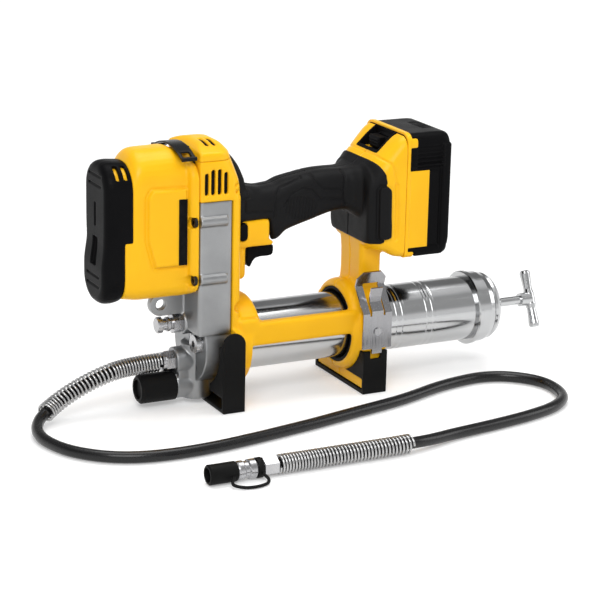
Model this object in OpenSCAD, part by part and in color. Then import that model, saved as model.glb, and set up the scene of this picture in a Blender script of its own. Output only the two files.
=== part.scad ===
// Battery grease gun standing on its two feet, with its hose laid out on the floor.
// X runs from the motor at the front to the T handle at the back, Z is up, millimetres.

/* [Barrel] */
// Outer diameter of the grease barrel
barrel_d = 57; // [54:0.5:60]
// Wall of the barrel tube
barrel_wall = 1.5; // [1:0.1:2.5]
// Height of the barrel axis above the floor
barrel_z = 52; // [50:0.5:56]
// Length of the barrel tube
barrel_len = 250; // [235:1:270]
// Length of the barrel thread inside the pump head
thread_len = 15; // [12:1:15]
// Overlap of the screwed end cap on the tube
cap_skirt = 10; // [8:0.5:14]
// Diameter of the follower rod
rod_d = 8; // [6:0.5:10]
// Length of rod that stands out behind the end cap
rod_out = 34; // [28:1:60]
// Length of the T handle bar
tbar_len = 52; // [46:1:70]
// Turn of the T handle bar from upright, in degrees
tbar_turn = 155; // [0:1:180]
// Thickness of the follower cup
follower_t = 14; // [10:1:20]
// Wire of the follower spring
spring_wire = 3; // [2.2:0.1:3.4]
// Turns of the follower spring
spring_turns = 10; // [6:1:12]

/* [Pump head] */
// Width of the gear case across the tool
head_w = 68; // [64:1:74]
// Depth of the gear case along the tool
head_d = 30; // [29:0.5:34]
// Height of the top of the gear case
head_top = 180; // [176:1:186]
// Wall of the barrel socket
socket_wall = 4.5; // [3.5:0.25:6]
// Height of the hose port axis
port_z = 37.5; // [35:0.5:40]
// Height of the relief valve port axis
valve_z = 15.8; // [15.5:0.1:17]
// Radius of the port bosses
port_r = 11.5; // [10.5:0.25:11.5]
// Reach of the port bosses in front of the gear case
port_reach = 9; // [6:0.5:14]
// Diameter of the strap eye in the lug
eye_d = 9; // [6:0.5:11]
// Thickness of the strap lug
lug_t = 7; // [5:0.5:9]
// Diameter of the rubber valve cap
valve_cap_d = 25; // [24:0.5:26]
// Length of the rubber valve cap
valve_cap_len = 32; // [26:1:38]
// Radius of the bulk fill nipple head
nipple_r = 7; // [5.5:0.25:8]

/* [Motor and gears] */
// Height of the motor axis
motor_z = 160; // [158:0.5:162]
// Thickness of the flange of the motor housing
flange_t = 8; // [6:0.5:10]
// Length of the motor housing in front of the gear case
motor_len = 62; // [58:1:70]
// Depth of the black end cap in front of the housing
end_cap_d = 16; // [14:0.5:20]
// Width of the motor housing
motor_w = 54; // [52:0.5:60]
// Height of the lowest edge of the motor housing
motor_low = 99; // [98:0.5:102]
// Height of the top of the motor housing
motor_top = 223; // [220:0.5:226]
// Outer diameter of the motor can
can_d = 44; // [40:0.5:45]
// Gear module
gear_m = 1; // [0.9:0.05:1]
// Teeth of the motor pinion
pinion_teeth = 12; // [12:1:14]
// Teeth of the crank gear
gear_teeth = 48; // [40:1:48]
// Radius of the crank pin circle
crank_r = 8; // [6:0.5:9]
// Diameter of the pump plunger
plunger_d = 10; // [8:0.5:12]

/* [Frame] */
// Depth of the moulded column behind the gear case
column_d = 9; // [8:0.5:12]
// Clear length of the hand gap
hand_gap = 114.5; // [110:0.5:120]
// Height of the middle of the handle
handle_z = 168; // [166:0.5:172]
// Width of the handle
handle_w = 36; // [32:0.5:40]
// Thickness of the soft overmould
grip_t = 2; // [1.5:0.1:2.5]
// Depth of the battery holder
holder_d = 36.5; // [35:0.5:42]
// Wall of the rear ring outside the barrel guide
ring_wall = 7; // [6:0.5:10]
// Length of the rear ring
ring_len = 32; // [30:1:38]
// Height of the side bars
bar_h = 20.5; // [18:0.5:24]
// Thickness of the side bars
bar_t = 6.5; // [5.5:0.25:8]
// Width across the rubber feet
feet_w = 91; // [90:0.5:96]
// Thickness of the rubber feet
rubber_t = 3.5; // [3:0.1:4]
// Length of the front foot
front_foot_len = 20.5; // [18:0.5:22]
// Height of the front foot's cheeks
front_cheek_h = 69; // [60:1:72]
// Length of the rear foot
rear_foot_len = 23; // [20:0.5:25]
// Height of the rear foot's cheeks
rear_cheek_h = 38; // [32:1:40]
// Height of the joint line of the top cover
cover_z = 214; // [212:0.5:216]
// Height of the top of the cover dome
dome_z = 227; // [225:0.5:231]
// Sheet thickness of the steel clip and the strap bracket
sheet_t = 1.5; // [1.2:0.1:1.8]

/* [Battery and controls] */
// Depth of the battery pack behind its holder
pack_d = 42.5; // [39.5:0.5:44]
// Width of the battery pack
pack_w = 74; // [72:0.5:76]
// Height of the battery pack
pack_h = 106.5; // [104:0.5:112]
// Height of the lowest edge of the pack
pack_low = 116; // [114:0.5:118]
// Diameter of a cell
cell_d = 18.2; // [18:0.1:18.3]
// Length of a cell
cell_len = 65; // [60:0.5:66]
// Width of the trigger
trigger_w = 17.4; // [14:0.2:18]
// Travel of the trigger
trigger_travel = 6; // [4:0.5:6]
// Length of the lock-off button across the tool
lock_len = 40.5; // [40:0.5:44]

/* [Hose] */
// Outer diameter of the hose
hose_d = 9.6; // [8:0.2:10]
// Outer diameter of the wire guards
guard_d = 16; // [15.6:0.2:17]
// Wire of the guards
guard_wire = 2; // [1.6:0.1:2]
// Length of the pump end guard along the hose
pump_guard_len = 116; // [100:1:125]
// Length of the coupler end guard along the hose
coupler_guard_len = 120; // [100:1:125]
// Diameter of the dust cap
dust_cap_d = 16; // [15:0.5:16.4]

/* [Hidden] */
$fn = 64;

yellow = [0.97, 0.7, 0.06];
black = [0.1, 0.1, 0.1];
steel = [0.72, 0.73, 0.74];
alloy = [0.66, 0.67, 0.68];

// Clearances: a shaft in its bore, between moving mouldings, and between seated pieces
fit = 0.05;
gap = 0.3;
snug = 0.1;
past = 1;

// Stations along the tool
x_head = -110;
x_back = x_head + head_d;
x_col = x_back + column_d;
x_holder = x_col + hand_gap;
x_pack = x_holder + holder_d;
x_end = x_pack + pack_d;
x_motor = x_head - motor_len;
x_nose = x_motor - end_cap_d;
socket_floor = 2;
x_seat = x_back + socket_floor;
x_sock = x_seat + thread_len;
x_tube = x_seat + barrel_len;
x_ring = x_holder - 10.5;
x_grip = x_col + 5;
x_plunger = x_head + 12;
x_port = x_head - port_reach;
x_face = x_head + 7;
x_foot_f = x_back - 12.7;
x_foot_r = x_ring + 6.5;

barrel_r = barrel_d / 2;
bore_r = barrel_r - barrel_wall;
socket_r = barrel_r + fit + socket_wall;
guide_wall = 4.2;
guide_r = barrel_r + gap + guide_wall;
ring_r = guide_r + ring_wall;
clear_r = barrel_r + 1.5;
head_hw = head_w / 2;
feet_hw = feet_w / 2;
core_hw = feet_hw - rubber_t;
pack_top = pack_low + pack_h;

// The origin lies under the middle of the tool, hose left out
tongue_reach = 4;
y_near = -(feet_hw + sheet_t + tongue_reach);
cap_len = cap_skirt + 23;
x_cap = x_tube - cap_skirt;
tbar_r = 5;
x_tbar = x_cap + cap_len + rod_out + tbar_r;
mid_x = (x_nose + x_tbar + tbar_r) / 2;
mid_y = (y_near + feet_hw) / 2;
module place() translate([-mid_x, -mid_y, 0]) children();

// Plain solids with their faces on given stations
module rod_x(x0, x1, r, y = 0, z = 0) translate([x0, y, z]) rotate([0, 90, 0])
  cylinder(r = r, h = x1 - x0);
module rod_y(y0, y1, r, x, z) translate([x, y0, z]) rotate([-90, 0, 0]) cylinder(r = r, h = y1 - y0);
module block(x0, x1, y0, y1, z0, z1) translate([x0, y0, z0]) cube([x1 - x0, y1 - y0, z1 - z0]);
module wide(x0, x1, hw, z0, z1) block(x0, x1, -hw, hw, z0, z1);
module hex_x(x0, x1, r, y = 0, z = 0) translate([x0, y, z]) rotate([0, 90, 0])
  cylinder(r = r, h = x1 - x0, $fn = 6);
// Profile of [x, radius] points turned about the X axis at height z
module turned(profile, z, y = 0) translate([0, y, z]) rotate([0, 90, 0])
  rotate_extrude() polygon([for (p = profile) [p[1], p[0]]]);
// Blocks with four edges rounded, along X, Y or Z
module pillow_x(x0, x1, hw, z0, z1, r) {
  wide(x0, x1, hw - r, z0, z1);
  wide(x0, x1, hw, z0 + r, z1 - r);
  for (s = [-1, 1], z = [z0 + r, z1 - r]) rod_x(x0, x1, r, s * (hw - r), z);
}
module pillow_y(x0, x1, y0, y1, z0, z1, r) {
  block(x0 + r, x1 - r, y0, y1, z0, z1);
  block(x0, x1, y0, y1, z0 + r, z1 - r);
  for (x = [x0 + r, x1 - r], z = [z0 + r, z1 - r]) rod_y(y0, y1, r, x, z);
}
module pillow_z(x0, x1, hw, z0, z1, r) {
  wide(x0 + r, x1 - r, hw, z0, z1);
  wide(x0, x1, hw - r, z0, z1);
  for (x = [x0 + r, x1 - r], s = [-1, 1]) translate([x, s * (hw - r), z0]) cylinder(r = r, h = z1 - z0);
}
// Concave corner of radius r, its square corner at [x, z], opening towards sx, sz
module corner_fill(x, z, r, sx, sz, y0, y1) difference() {
  block(min(x, x + sx * r), max(x, x + sx * r), y0, y1, min(z, z + sz * r), max(z, z + sz * r));
  rod_y(y0 - past, y1 + past, r, x + sx * r, z + sz * r);
}

// Lofted shells: rings of points, one per station, with flat ends
corner_n = 4;
module loft(rings) {
  n = len(rings[0]);
  m = len(rings);
  last = (m - 1) * n;
  sides = [for (k = [0 : m - 2], i = [0 : n - 1])
    let (a = k * n + i, b = k * n + (i + 1) % n) each [[a, a + n, b], [b, a + n, b + n]]];
  ends = [for (i = [1 : n - 2]) each [[0, i, i + 1], [last, last + i + 1, last + i]]];
  polyhedron([for (r = rings) each r], concat(sides, ends));
}
// Upright ring across the tool at x, with its own top and bottom corner radii
function ring_x(x, hw, z0, z1, rt, rb) = [for (q = [0 : 3], i = [0 : corner_n])
  let (a = 90 * (q + i / corner_n), r = q < 2 ? rt : rb, s = q == 0 || q == 3 ? 1 : -1)
  [x, s * (hw - r) + r * cos(a), (q < 2 ? z1 - r : z0 + r) + r * sin(a)]];
// Level ring at z, with its own front and back corner radii
function ring_z(z, xf, xb, hw, rf, rb) = [for (q = [0 : 3], i = [0 : corner_n])
  let (a = 90 * (q + i / corner_n), back = q == 0 || q == 3, r = back ? rb : rf, s = q < 2 ? 1 : -1)
  [(back ? xb - r : xf + r) + r * cos(a), s * (hw - r) + r * sin(a), z]];

// Pump head

screw_y = head_hw - 2.5;
screw_zs = [motor_z - 45, motor_z + 4];
rib_r = 4.5;
shank_r = 2;
lug_x = x_head - 21;
lug_r = 10;
lug_z = motor_low - lug_r - 0.5;
nipple_z = barrel_z + 18;
gear_dist = gear_m * (pinion_teeth + gear_teeth) / 2;
crank_z = motor_z - gear_dist;
room_hw = gear_m * (gear_teeth / 2 + 1) + 2;
room_low = crank_z - gear_m * (gear_teeth / 2 + 1) - 5;
room_x0 = x_head + 4;
room_x1 = x_back - 4.5;
plunger_r = plunger_d / 2;
boss_r = 13;
boss_low = 4.3;
plug_r = 8;
chamber_low = boss_low + 8;
prime_y = -20;
prime_z = barrel_z + 4;
gear_shaft_r = 4;

module pump_head() color(alloy) place() difference() {
  union() {
    pillow_z(x_head, x_back, head_hw, barrel_z + 14, head_top, 3.5);
    rod_x(x_face, x_sock, socket_r, 0, barrel_z);
    for (z = [port_z, valve_z]) rod_x(x_port, x_back, port_r, 0, z);
    wide(x_port + 2, x_back, port_r - 2.5, valve_z, port_z);
    translate([x_plunger, 0, boss_low]) cylinder(r = boss_r, h = barrel_z - boss_low);
    rod_x(x_head - 2, x_back, nipple_r + 3, 0, nipple_z);
    for (s = [-1, 1], z = screw_zs) {
      rod_x(x_head, x_back - 8, rib_r, s * screw_y, z);
      translate([x_back - 8, s * screw_y, z]) sphere(r = rib_r);
    }
    rod_y(-lug_t / 2, lug_t / 2, lug_r, lug_x, lug_z);
    block(lug_x, x_head + 2, -lug_t / 2, lug_t / 2, lug_z - lug_r, lug_z + lug_r);
  }
  wide(room_x0, room_x1, room_hw, room_low, head_top - 4);
  translate([x_plunger, 0, chamber_low]) cylinder(r = plunger_r + fit, h = room_low - chamber_low + past);
  translate([x_plunger, 0, boss_low - past])
    cylinder(r = plug_r + fit, h = chamber_low - boss_low + past);
  rod_x(x_seat, x_sock + past, barrel_r + fit, 0, barrel_z);
  rod_x(x_plunger, x_seat + past, 4, 0, barrel_z);
  rod_x(x_port - past, x_plunger, 4.5, 0, port_z);
  rod_x(x_port - past, x_plunger - plug_r, valve_r + fit, 0, valve_z);
  rod_x(x_head - 3, x_plunger, 3, 0, nipple_z);
  rod_x(x_head - past, room_x0 + past, motor_shaft_r + fit, 0, motor_z);
  rod_x(room_x1 - past, x_back + past, gear_shaft_r + fit, 0, crank_z);
  rod_x(x_face - past, x_face + prime_seat, prime_r + fit, prime_y, prime_z);
  for (s = [-1, 1], z = screw_zs) rod_x(x_head - past, x_head + 14, shank_r + fit, s * screw_y, z);
  rod_y(-lug_t, lug_t, eye_d / 2, lug_x, lug_z);
}

// Threaded plug under the plunger chamber
module foot_plug() color(steel) place() difference() {
  translate([x_plunger, 0, boss_low]) cylinder(r = plug_r, h = chamber_low - boss_low - snug);
  translate([x_plunger, 0, boss_low - past]) cylinder(r = 4, h = 4, $fn = 6);
}

prime_r = 6;
prime_seat = 5;
module prime_plug() color(steel) place() difference() {
  union() {
    rod_x(x_face - 6, x_face - snug, 8, prime_y, prime_z);
    rod_x(x_face - snug - past, x_face + prime_seat - snug, prime_r, prime_y, prime_z);
  }
  hex_x(x_face - 7, x_face - 3, 3.6, prime_y, prime_z);
}

module fill_nipple() color(steel) place() {
  x_hex = x_head - 2 - snug;
  stem = nipple_r - 2;
  hex_x(x_hex - 8, x_hex, nipple_r + 1.5, 0, nipple_z);
  turned([[x_hex - 22, 0], [x_hex - 22, nipple_r - 1], [x_hex - 21, nipple_r], [x_hex - 18, nipple_r],
    [x_hex - 17, stem], [x_hex - 14, stem], [x_hex - 13, nipple_r - 0.8], [x_hex - 11, nipple_r - 0.8],
    [x_hex - 10, stem], [x_hex - 7, stem], [x_hex - 7, 0]], nipple_z);
}

valve_r = 6;
module relief_valve() color(steel) place() {
  rod_x(x_port - valve_cap_len + 6, x_port - snug, 9, 0, valve_z);
  rod_x(x_port - past, x_plunger - plug_r - 2, valve_r, 0, valve_z);
}

// Rubber cap, hollow over the valve, with a dished end
module valve_cap() color(black) place() difference() {
  turned([[x_port - valve_cap_len, 0], [x_port - valve_cap_len, valve_cap_d / 2 - 2],
    [x_port - valve_cap_len + 2, valve_cap_d / 2], [x_port - snug, valve_cap_d / 2],
      [x_port - snug, 0]], valve_z);
  rod_x(x_port - valve_cap_len + 6 - snug, x_port + past, 9 + snug, 0, valve_z);
  rod_x(x_port - valve_cap_len - past, x_port - valve_cap_len + 2.5, valve_cap_d / 2 - 4, 0, valve_z);
}

// Outlet ball, trapped loosely above the foot plug
ball_r = plunger_r - 1;
module check_ball() color(steel) place() translate([x_plunger, 0, chamber_low + ball_r + snug])
  sphere(r = ball_r);

// Motor and its housing

can_r = can_d / 2;
motor_shaft_r = 2.5;
x_can0 = x_motor + 5;
x_can1 = x_head - 8;
wing_d = 7;
wing_z = motor_z - 10;
cap_top = motor_top - 8.5;
seat_t = 2;
mhw = motor_w / 2;
bracket_low = motor_top - 29;

module housing_loft() loft([for (s = [
    [x_motor, -1, 2, -13], [x_motor + 6, -0.5, 1, -10], [x_motor + 11, 0, 0.3, -3.5],
      [x_motor + 17, 0, 0, -0.5],
    [x_head - 18, 0, 0, 0], [x_head - 11, 0.6, 0, -3], [x_head - flange_t, 2, 1, -5]])
  ring_x(s[0], mhw + s[1], motor_low + s[2], motor_top + s[3], mhw - 4, 13)]);

module motor_housing() color(yellow) place() difference() {
  union() {
    housing_loft();
    loft([for (s = [[-flange_t, -3.4], [-flange_t + 1, -1.4], [-flange_t + 2.6, -0.3],
      [-flange_t + 4, 0], [-snug, 0]])
      ring_x(x_head + s[0], head_hw + s[1], motor_low + 4 - s[1] / 2, cover_z - 1.5 + s[1] / 2, 15, 10)]);
    wide(x_head - flange_t - 2, x_head - snug, mhw - 12, motor_low + 10, motor_top - 6);
    for (s = [-1, 1]) pad(s);
  }
  rod_x(x_can0 - snug, x_can1 + snug, can_r + snug, 0, motor_z);
  rod_x(x_can1, x_head + past, 9 + snug, 0, motor_z);
  wide(x_motor - past, x_motor + wing_d + snug, motor_w, wing_z, motor_top + past);
  rod_x(x_motor - past, x_can0, 6, 0, motor_z);
  wide(x_head - sheet_t - snug, x_head + past, mhw - 2, bracket_low, motor_top + past);
  for (s = [-1, 1], z = screw_zs) {
    rod_x(x_head - flange_t, x_head + past, shank_r + fit, s * screw_y, z);
    rod_x(x_head - flange_t - 4, x_head - seat_t, 4.6, s * screw_y, z);
  }
}

// Raised bare pad on each side of the housing
module pad(s) intersection() {
  rotate([90, 0, 0]) linear_extrude(motor_w + 2, center = true)
    polygon([[x_motor + 24, motor_z + 32], [x_head - flange_t, motor_z + 32],
      [x_head - flange_t, motor_low + 34],
      [x_motor + 28, motor_low + 34], [x_motor + 20, motor_z - 8], [x_motor + 20, motor_z + 28]]);
  block(x_motor, x_head, min(0, s * (mhw + 1)), max(0, s * (mhw + 1)), motor_low, motor_top);
}

module motor_end_cap() color(black) place() difference() {
  loft([for (s = [
      [x_nose, -8, 7, -7], [x_nose + 0.8, -5.2, 4, -4.2], [x_nose + 2.6, -2.9, 1.6, -1.9],
        [x_nose + 6, -1.4, 0, -0.4],
      [x_nose + 10, -1, 0, 0], [x_motor, -1, 1, -0.5], [x_motor + wing_d, -0.5, 2, -1]])
    ring_x(s[0], mhw + s[1], motor_low + s[2], cap_top + s[3], mhw + s[1] - 3, mhw + s[1] - 3)]);
  wide(x_motor - snug, x_motor + wing_d + past, motor_w, motor_low - past, wing_z + snug);
  wide(x_motor - snug, x_motor + wing_d + past, mhw - 4, wing_z - past, cap_top - 8);
  rod_x(x_motor - 6, x_motor + wing_d + past, can_r + snug, 0, motor_z);
  for (s = [-1, 1], k = [0, 1]) rotate_slot(s, x_motor - 7 + 7 * k);
  pillow_x(x_nose - past, x_nose + 3, 6, motor_z - 31, motor_z - 8, 1);
  pillow_x(x_nose - past, x_nose + 1.5, 1.6, motor_z + 1, motor_z + 21, 1);
  for (z = [motor_low + 12, motor_low + 20, cap_top - 20, cap_top - 12])
    wide(x_nose - past, x_nose + 1, 14, z, z + 2);
}
// Vent slot that follows the round shoulder of the end cap
module rotate_slot(s, x) translate([x, s * (mhw - 9), cap_top - 10]) rotate([s * -45, 0, 0])
  translate([0, -7, -3]) cube([4, 14, 14]);

module housing_screws() color(black) place() for (s = [-1, 1], z = screw_zs) difference() {
  union() {
    rod_x(x_head - seat_t - 2.8, x_head - seat_t - snug, 4.2, s * screw_y, z);
    rod_x(x_head - seat_t - past, x_head + 13, shank_r, s * screw_y, z);
  }
  hex_x(x_head - seat_t - 4, x_head - seat_t - 1, 2.2, s * screw_y, z);
}

module motor_can() color(steel) place() difference() {
  union() {
    rod_x(x_can0, x_can1, can_r, 0, motor_z);
    rod_x(x_can1 - past, x_head - snug, 9, 0, motor_z);
  }
  rod_x(x_can0 + 4, x_can1 - 4, can_r - 4, 0, motor_z);
  rod_x(x_can0 - past, x_head + past, motor_shaft_r + fit, 0, motor_z);
}

// Spur gear outline with straight-flanked teeth and some backlash
gear_backlash = 0.08;
module gear_x(x0, x1, teeth, turn, z) translate([x0, 0, z]) rotate([0, 90, 0]) rotate([0, 0, turn])
  linear_extrude(x1 - x0) polygon([for (t = [0 : teeth - 1], k = [0 : 3])
    let (pitch = 360 / teeth, pr = gear_m * teeth / 2, tip = k == 1 || k == 2,
      half = (tip ? 0.17 : 0.40) - gear_backlash, a = pitch * (t + (k < 2 ? -half : half)),
      r = tip ? pr + 0.9 * gear_m : pr - 1.25 * gear_m) r * [cos(a), sin(a)]]);

gear_x0 = room_x1 - 5.6;
gear_x1 = room_x1 - 0.6;
module motor_rotor() color(steel) place() {
  rod_x(x_can0 - 2, gear_x1, motor_shaft_r, 0, motor_z);
  rod_x(x_can0 + 8, x_can1 - 8, can_r - 5.5, 0, motor_z);
  rod_x(x_can1 - 9, x_can1 - 5, can_r - 8, 0, motor_z);
  gear_x(gear_x0 - 1, gear_x1, pinion_teeth, 180 / pinion_teeth, motor_z);
}

// Crank gear on its stub shaft, its pin facing the yoke
yoke_t = 7;
pin_r = 3;
module crank_gear() color(steel) place() {
  gear_x(gear_x0, gear_x1, gear_teeth, 0, crank_z);
  rod_x(gear_x1 - past, x_back - snug, gear_shaft_r, 0, crank_z);
  rod_x(x_plunger + max(yoke_t / 2, plunger_r) + gap, gear_x0 + past, pin_r, crank_r, crank_z);
}

// Yoke and plunger in one piece, drawn at mid stroke
yoke_h = 2 * pin_r + 14;
module plunger() color(steel) place() difference() {
  union() {
    wide(x_plunger - yoke_t / 2, x_plunger + yoke_t / 2, crank_r + pin_r + 4, crank_z - yoke_h / 2,
      crank_z + yoke_h / 2);
    translate([x_plunger, 0, chamber_low + 2 * ball_r + crank_r + 2])
      cylinder(r = plunger_r, h = crank_z - yoke_h / 2 - chamber_low - 2 * ball_r - crank_r);
  }
  wide(x_plunger, x_plunger + yoke_t, crank_r + pin_r + gap, crank_z - pin_r - gap,
    crank_z + pin_r + gap);
}

// Black stamped band across the top of the housing, with a strap slot at each end
band_hw = mhw + 4;
band_drop = 8.5;
band_w = 13.5;
band_back = 2;
slot_w = 6.4;
band_r = (band_hw * band_hw + band_drop * band_drop) / (2 * band_drop);
band_top = motor_top + 2.5;
module band_disc(r) rod_x(x_head - band_back - band_w, x_head - band_back, r, 0, band_top - band_r);
module strap_bracket() color(black) place() {
  difference() {
    intersection() {
      difference() {
        band_disc(band_r);
        band_disc(band_r - sheet_t);
      }
      wide(x_head - band_w - band_back - past, x_head, band_hw, band_top - band_drop - sheet_t,
        band_top + past);
    }
    for (s = [-1, 1]) translate([x_head - band_back - band_w + 3, s * (band_hw - 6) - slot_w / 2,
      band_top - band_drop - 4])
      cube([band_w - 6, slot_w, 20]);
  }
  for (s = [-1, 1]) rod_x(x_head - band_back - band_w, x_head - band_back, 1.8, s * (band_hw + 0.4),
    band_top - band_drop);
  wide(x_head - sheet_t, x_head - snug, mhw - 3, bracket_low + 1, motor_top - 6);
  wide(x_head - sheet_t, x_head - snug, 12, motor_top - 7, band_top - sheet_t - 0.6);
  wide(x_head - band_back - past, x_head - snug, 12, band_top - 2 * sheet_t - 0.6,
    band_top - sheet_t - 0.6);
}

// Moulded frame

col_low = barrel_z + 6;
column_front = 1;
// Level rings of the column: height, back edge, half width, back corner radius
function column_ring(z, inset, hw, r) = ring_z(z, x_head + column_front, x_col - inset, hw, 2, r);
module column_loft() loft([
  column_ring(col_low, 0, head_hw, 6), column_ring(handle_z - 26, 0, head_hw, 7),
  column_ring(head_top, 0, head_hw, 9), column_ring(cover_z - 20, 0.5, head_hw, 13),
  column_ring(cover_z - 8, 4, head_hw - 0.3, 19), column_ring(cover_z, 7, head_hw - 1.5, 25)]);

module cover_vents() for (k = [0 : 1]) translate([x_head + 16 + 6 * k, 0, cover_z + 6])
  rotate([0, -10, 0]) wide(0, 2.6, 7, 0, dome_z);
module cover_loft() loft([
  column_ring(cover_z + snug, 7, head_hw - 1.5, 25), column_ring(cover_z + 6, 8.5, head_hw - 5, 23),
  ring_z(cover_z + 10.5, x_head + 4, x_col - 12.5, head_hw - 11, 2, 17),
  ring_z(dome_z, x_head + 9, x_col - 20, head_hw - 17, 2, 8)]);
module top_cover() color(yellow) place() difference() {
  cover_loft();
  wide(x_head + 5, x_back - 6, head_hw - 14, cover_z - past, cover_z + 8);
  cover_vents();
}

// Handle stations: share of the hand gap, underside, top and half width against the handle's middle
handle_hw = handle_w / 2;
handle_stations = [[-0.06, -21, 19, 2], [0.1, -21, 17.5, 1], [0.17, -21, 15.9, 0.3],
  [0.245, -21, 14.5, -0.5],
  [0.327, -21, 14.5, -0.5], [0.34, -31.5, 15, -0.5], [0.375, -29.6, 16.2, 0], [0.423, -24.9, 18.5, 0],
  [0.48, -22.4, 20, 0], [0.56, -19.8, 21.7, 0], [0.644, -17.2, 23.3, 0], [0.725, -14.4, 24.2, 0],
  [0.812, -12, 24.4, 0], [0.9, -11, 24.2, 0.5], [0.95, -12.5, 24.4, 2], [0.985, -16, 24.8, 5.5],
    [1.04, -17, 25, 7]];
module handle_loft(inset) loft([for (s = handle_stations)
  ring_x(x_col + s[0] * hand_gap, handle_hw + s[3] - inset, handle_z + s[1] + inset,
    handle_z + s[2] - inset, 12, 10)]);

// Battery holder stations: share of its depth, then half width, underside and top against the pack
holder_hw = pack_w / 2 + 1;
holder_top = pack_top - 0.5;
holder_stations = [[0.07, -7, 17, -36], [0.085, -5, 13.8, -33], [0.125, -3.8, 10.8, -30],
  [0.22, -2.4, 8.5, -25.2], [0.36, -0.9, 6.8, -20.2], [0.53, 0, 5.5, -14.2], [0.73, 0, 1.5, -7.2],
  [0.89, 0, 0.3, -2.5], [1, 0, 0, 0]];
module holder_loft(grow) loft([for (s = holder_stations) let (f = s[0], hw = holder_hw + s[1] + grow)
  ring_x(x_holder - grow * (1 - f) + f * holder_d - (f == 1 ? gap : 0), hw, pack_low + s[2] - grow,
    holder_top + s[3] + grow, 19, 12 - 6 * f)]);

// Collar round the barrel socket, its lower half shorter than its upper half
collar_r = socket_r + 5.5;
collar_len = 28.5;
collar_low = 18;
module front_collar() difference() {
  turned([[x_back + snug, socket_r + snug], [x_back + snug, collar_r], [x_back + collar_len - 4, collar_r],
    [x_back + collar_len - 1.6, collar_r - 1.2], [x_back + collar_len - 0.4, collar_r - 3],
    [x_back + collar_len, collar_r - 4.5], [x_back + collar_len, clear_r], [x_sock + snug, clear_r],
    [x_sock + snug, socket_r + snug]], barrel_z);
  wide(x_back + collar_low, x_back + collar_len + past, head_w, 0, bar_low + 10);
}

bar_low = barrel_z + 0.5;
bar_out = clear_r + bar_t;
post_hw = 20;
post_d = 20.5;
x_post = x_holder + 4;
module rear_post() pillow_z(x_post, x_post + post_d, post_hw, barrel_z + clear_r, pack_low + 14, 4);
module rear_ring() turned([[x_ring, clear_r], [x_ring, guide_r + 2.2], [x_ring + 0.8, guide_r + 4],
  [x_ring + 2.6, ring_r - 1.4],
  [x_ring + 5.5, ring_r], [x_ring + ring_len, ring_r], [x_ring + ring_len, clear_r]], barrel_z);
module side_bars() for (s = [-1, 1]) {
  y0 = s > 0 ? clear_r - 4 : -bar_out;
  y1 = s > 0 ? bar_out : 4 - clear_r;
  block(x_col - 3, x_ring + 8, y0, y1, bar_low, bar_low + bar_h);
  corner_fill(x_back + collar_low, bar_low, 4, 1, -1, y0, y1);
  corner_fill(x_back + collar_len - 3, bar_low + bar_h, 5, 1, 1, y0, y1);
  corner_fill(x_ring + 1, bar_low, 4, -1, -1, y0, y1);
  corner_fill(x_ring + 1, bar_low + bar_h, 4, -1, 1, y0, y1);
  block(x_col - 3, x_back + collar_low, y0, y1, bar_low - 20, bar_low + 2);
}

arch_r = front_foot_len / 2;
module arch_y(x0, len, y0, y1, z0, z1) {
  block(x0, x0 + len, y0, y1, z0, z1 - len / 2);
  rod_y(y0, y1, len / 2, x0 + len / 2, z1 - len / 2);
}
module foot_cores() {
  arch_y(x_foot_f + 0.6, front_foot_len + 1.4, -core_hw + snug, core_hw - snug, rubber_t + snug,
    front_cheek_h + 1.2);
  wide(x_foot_r + 1, x_foot_r + rear_foot_len - 1, core_hw - snug, rubber_t + snug, barrel_z);
  wide(x_foot_r + 0.5, x_foot_r + rear_foot_len - 0.5, feet_hw - snug, rear_cheek_h + snug,
    barrel_z + 19);
}

trigger_z = handle_z - 46;
x_trigger = x_grip + 11;
switch_z = handle_z - 15;
rail_hw = 16;
neck_hw = 12;
rail_x = x_pack - 16;
neck_x = x_pack - 7.5;
notch_x = x_pack - 20;
notch_hw = 18.5;
notch_z = pack_top - 18;
terminal_hw = 14.5;
lock_x = x_grip + 3;
lock_z = handle_z - 20.5;
lock_r = 3.6;
block_hw = handle_hw - 0.5;
lock_rise = 4;

module lock_outline(grow, y0, y1) {
  for (s = [-1, 1]) rod_y(y0, y1, lock_r + grow, lock_x, lock_z + s * lock_rise);
  block(lock_x - lock_r - grow, lock_x + lock_r + grow, y0, y1, lock_z - lock_rise, lock_z + lock_rise);
}

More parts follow.
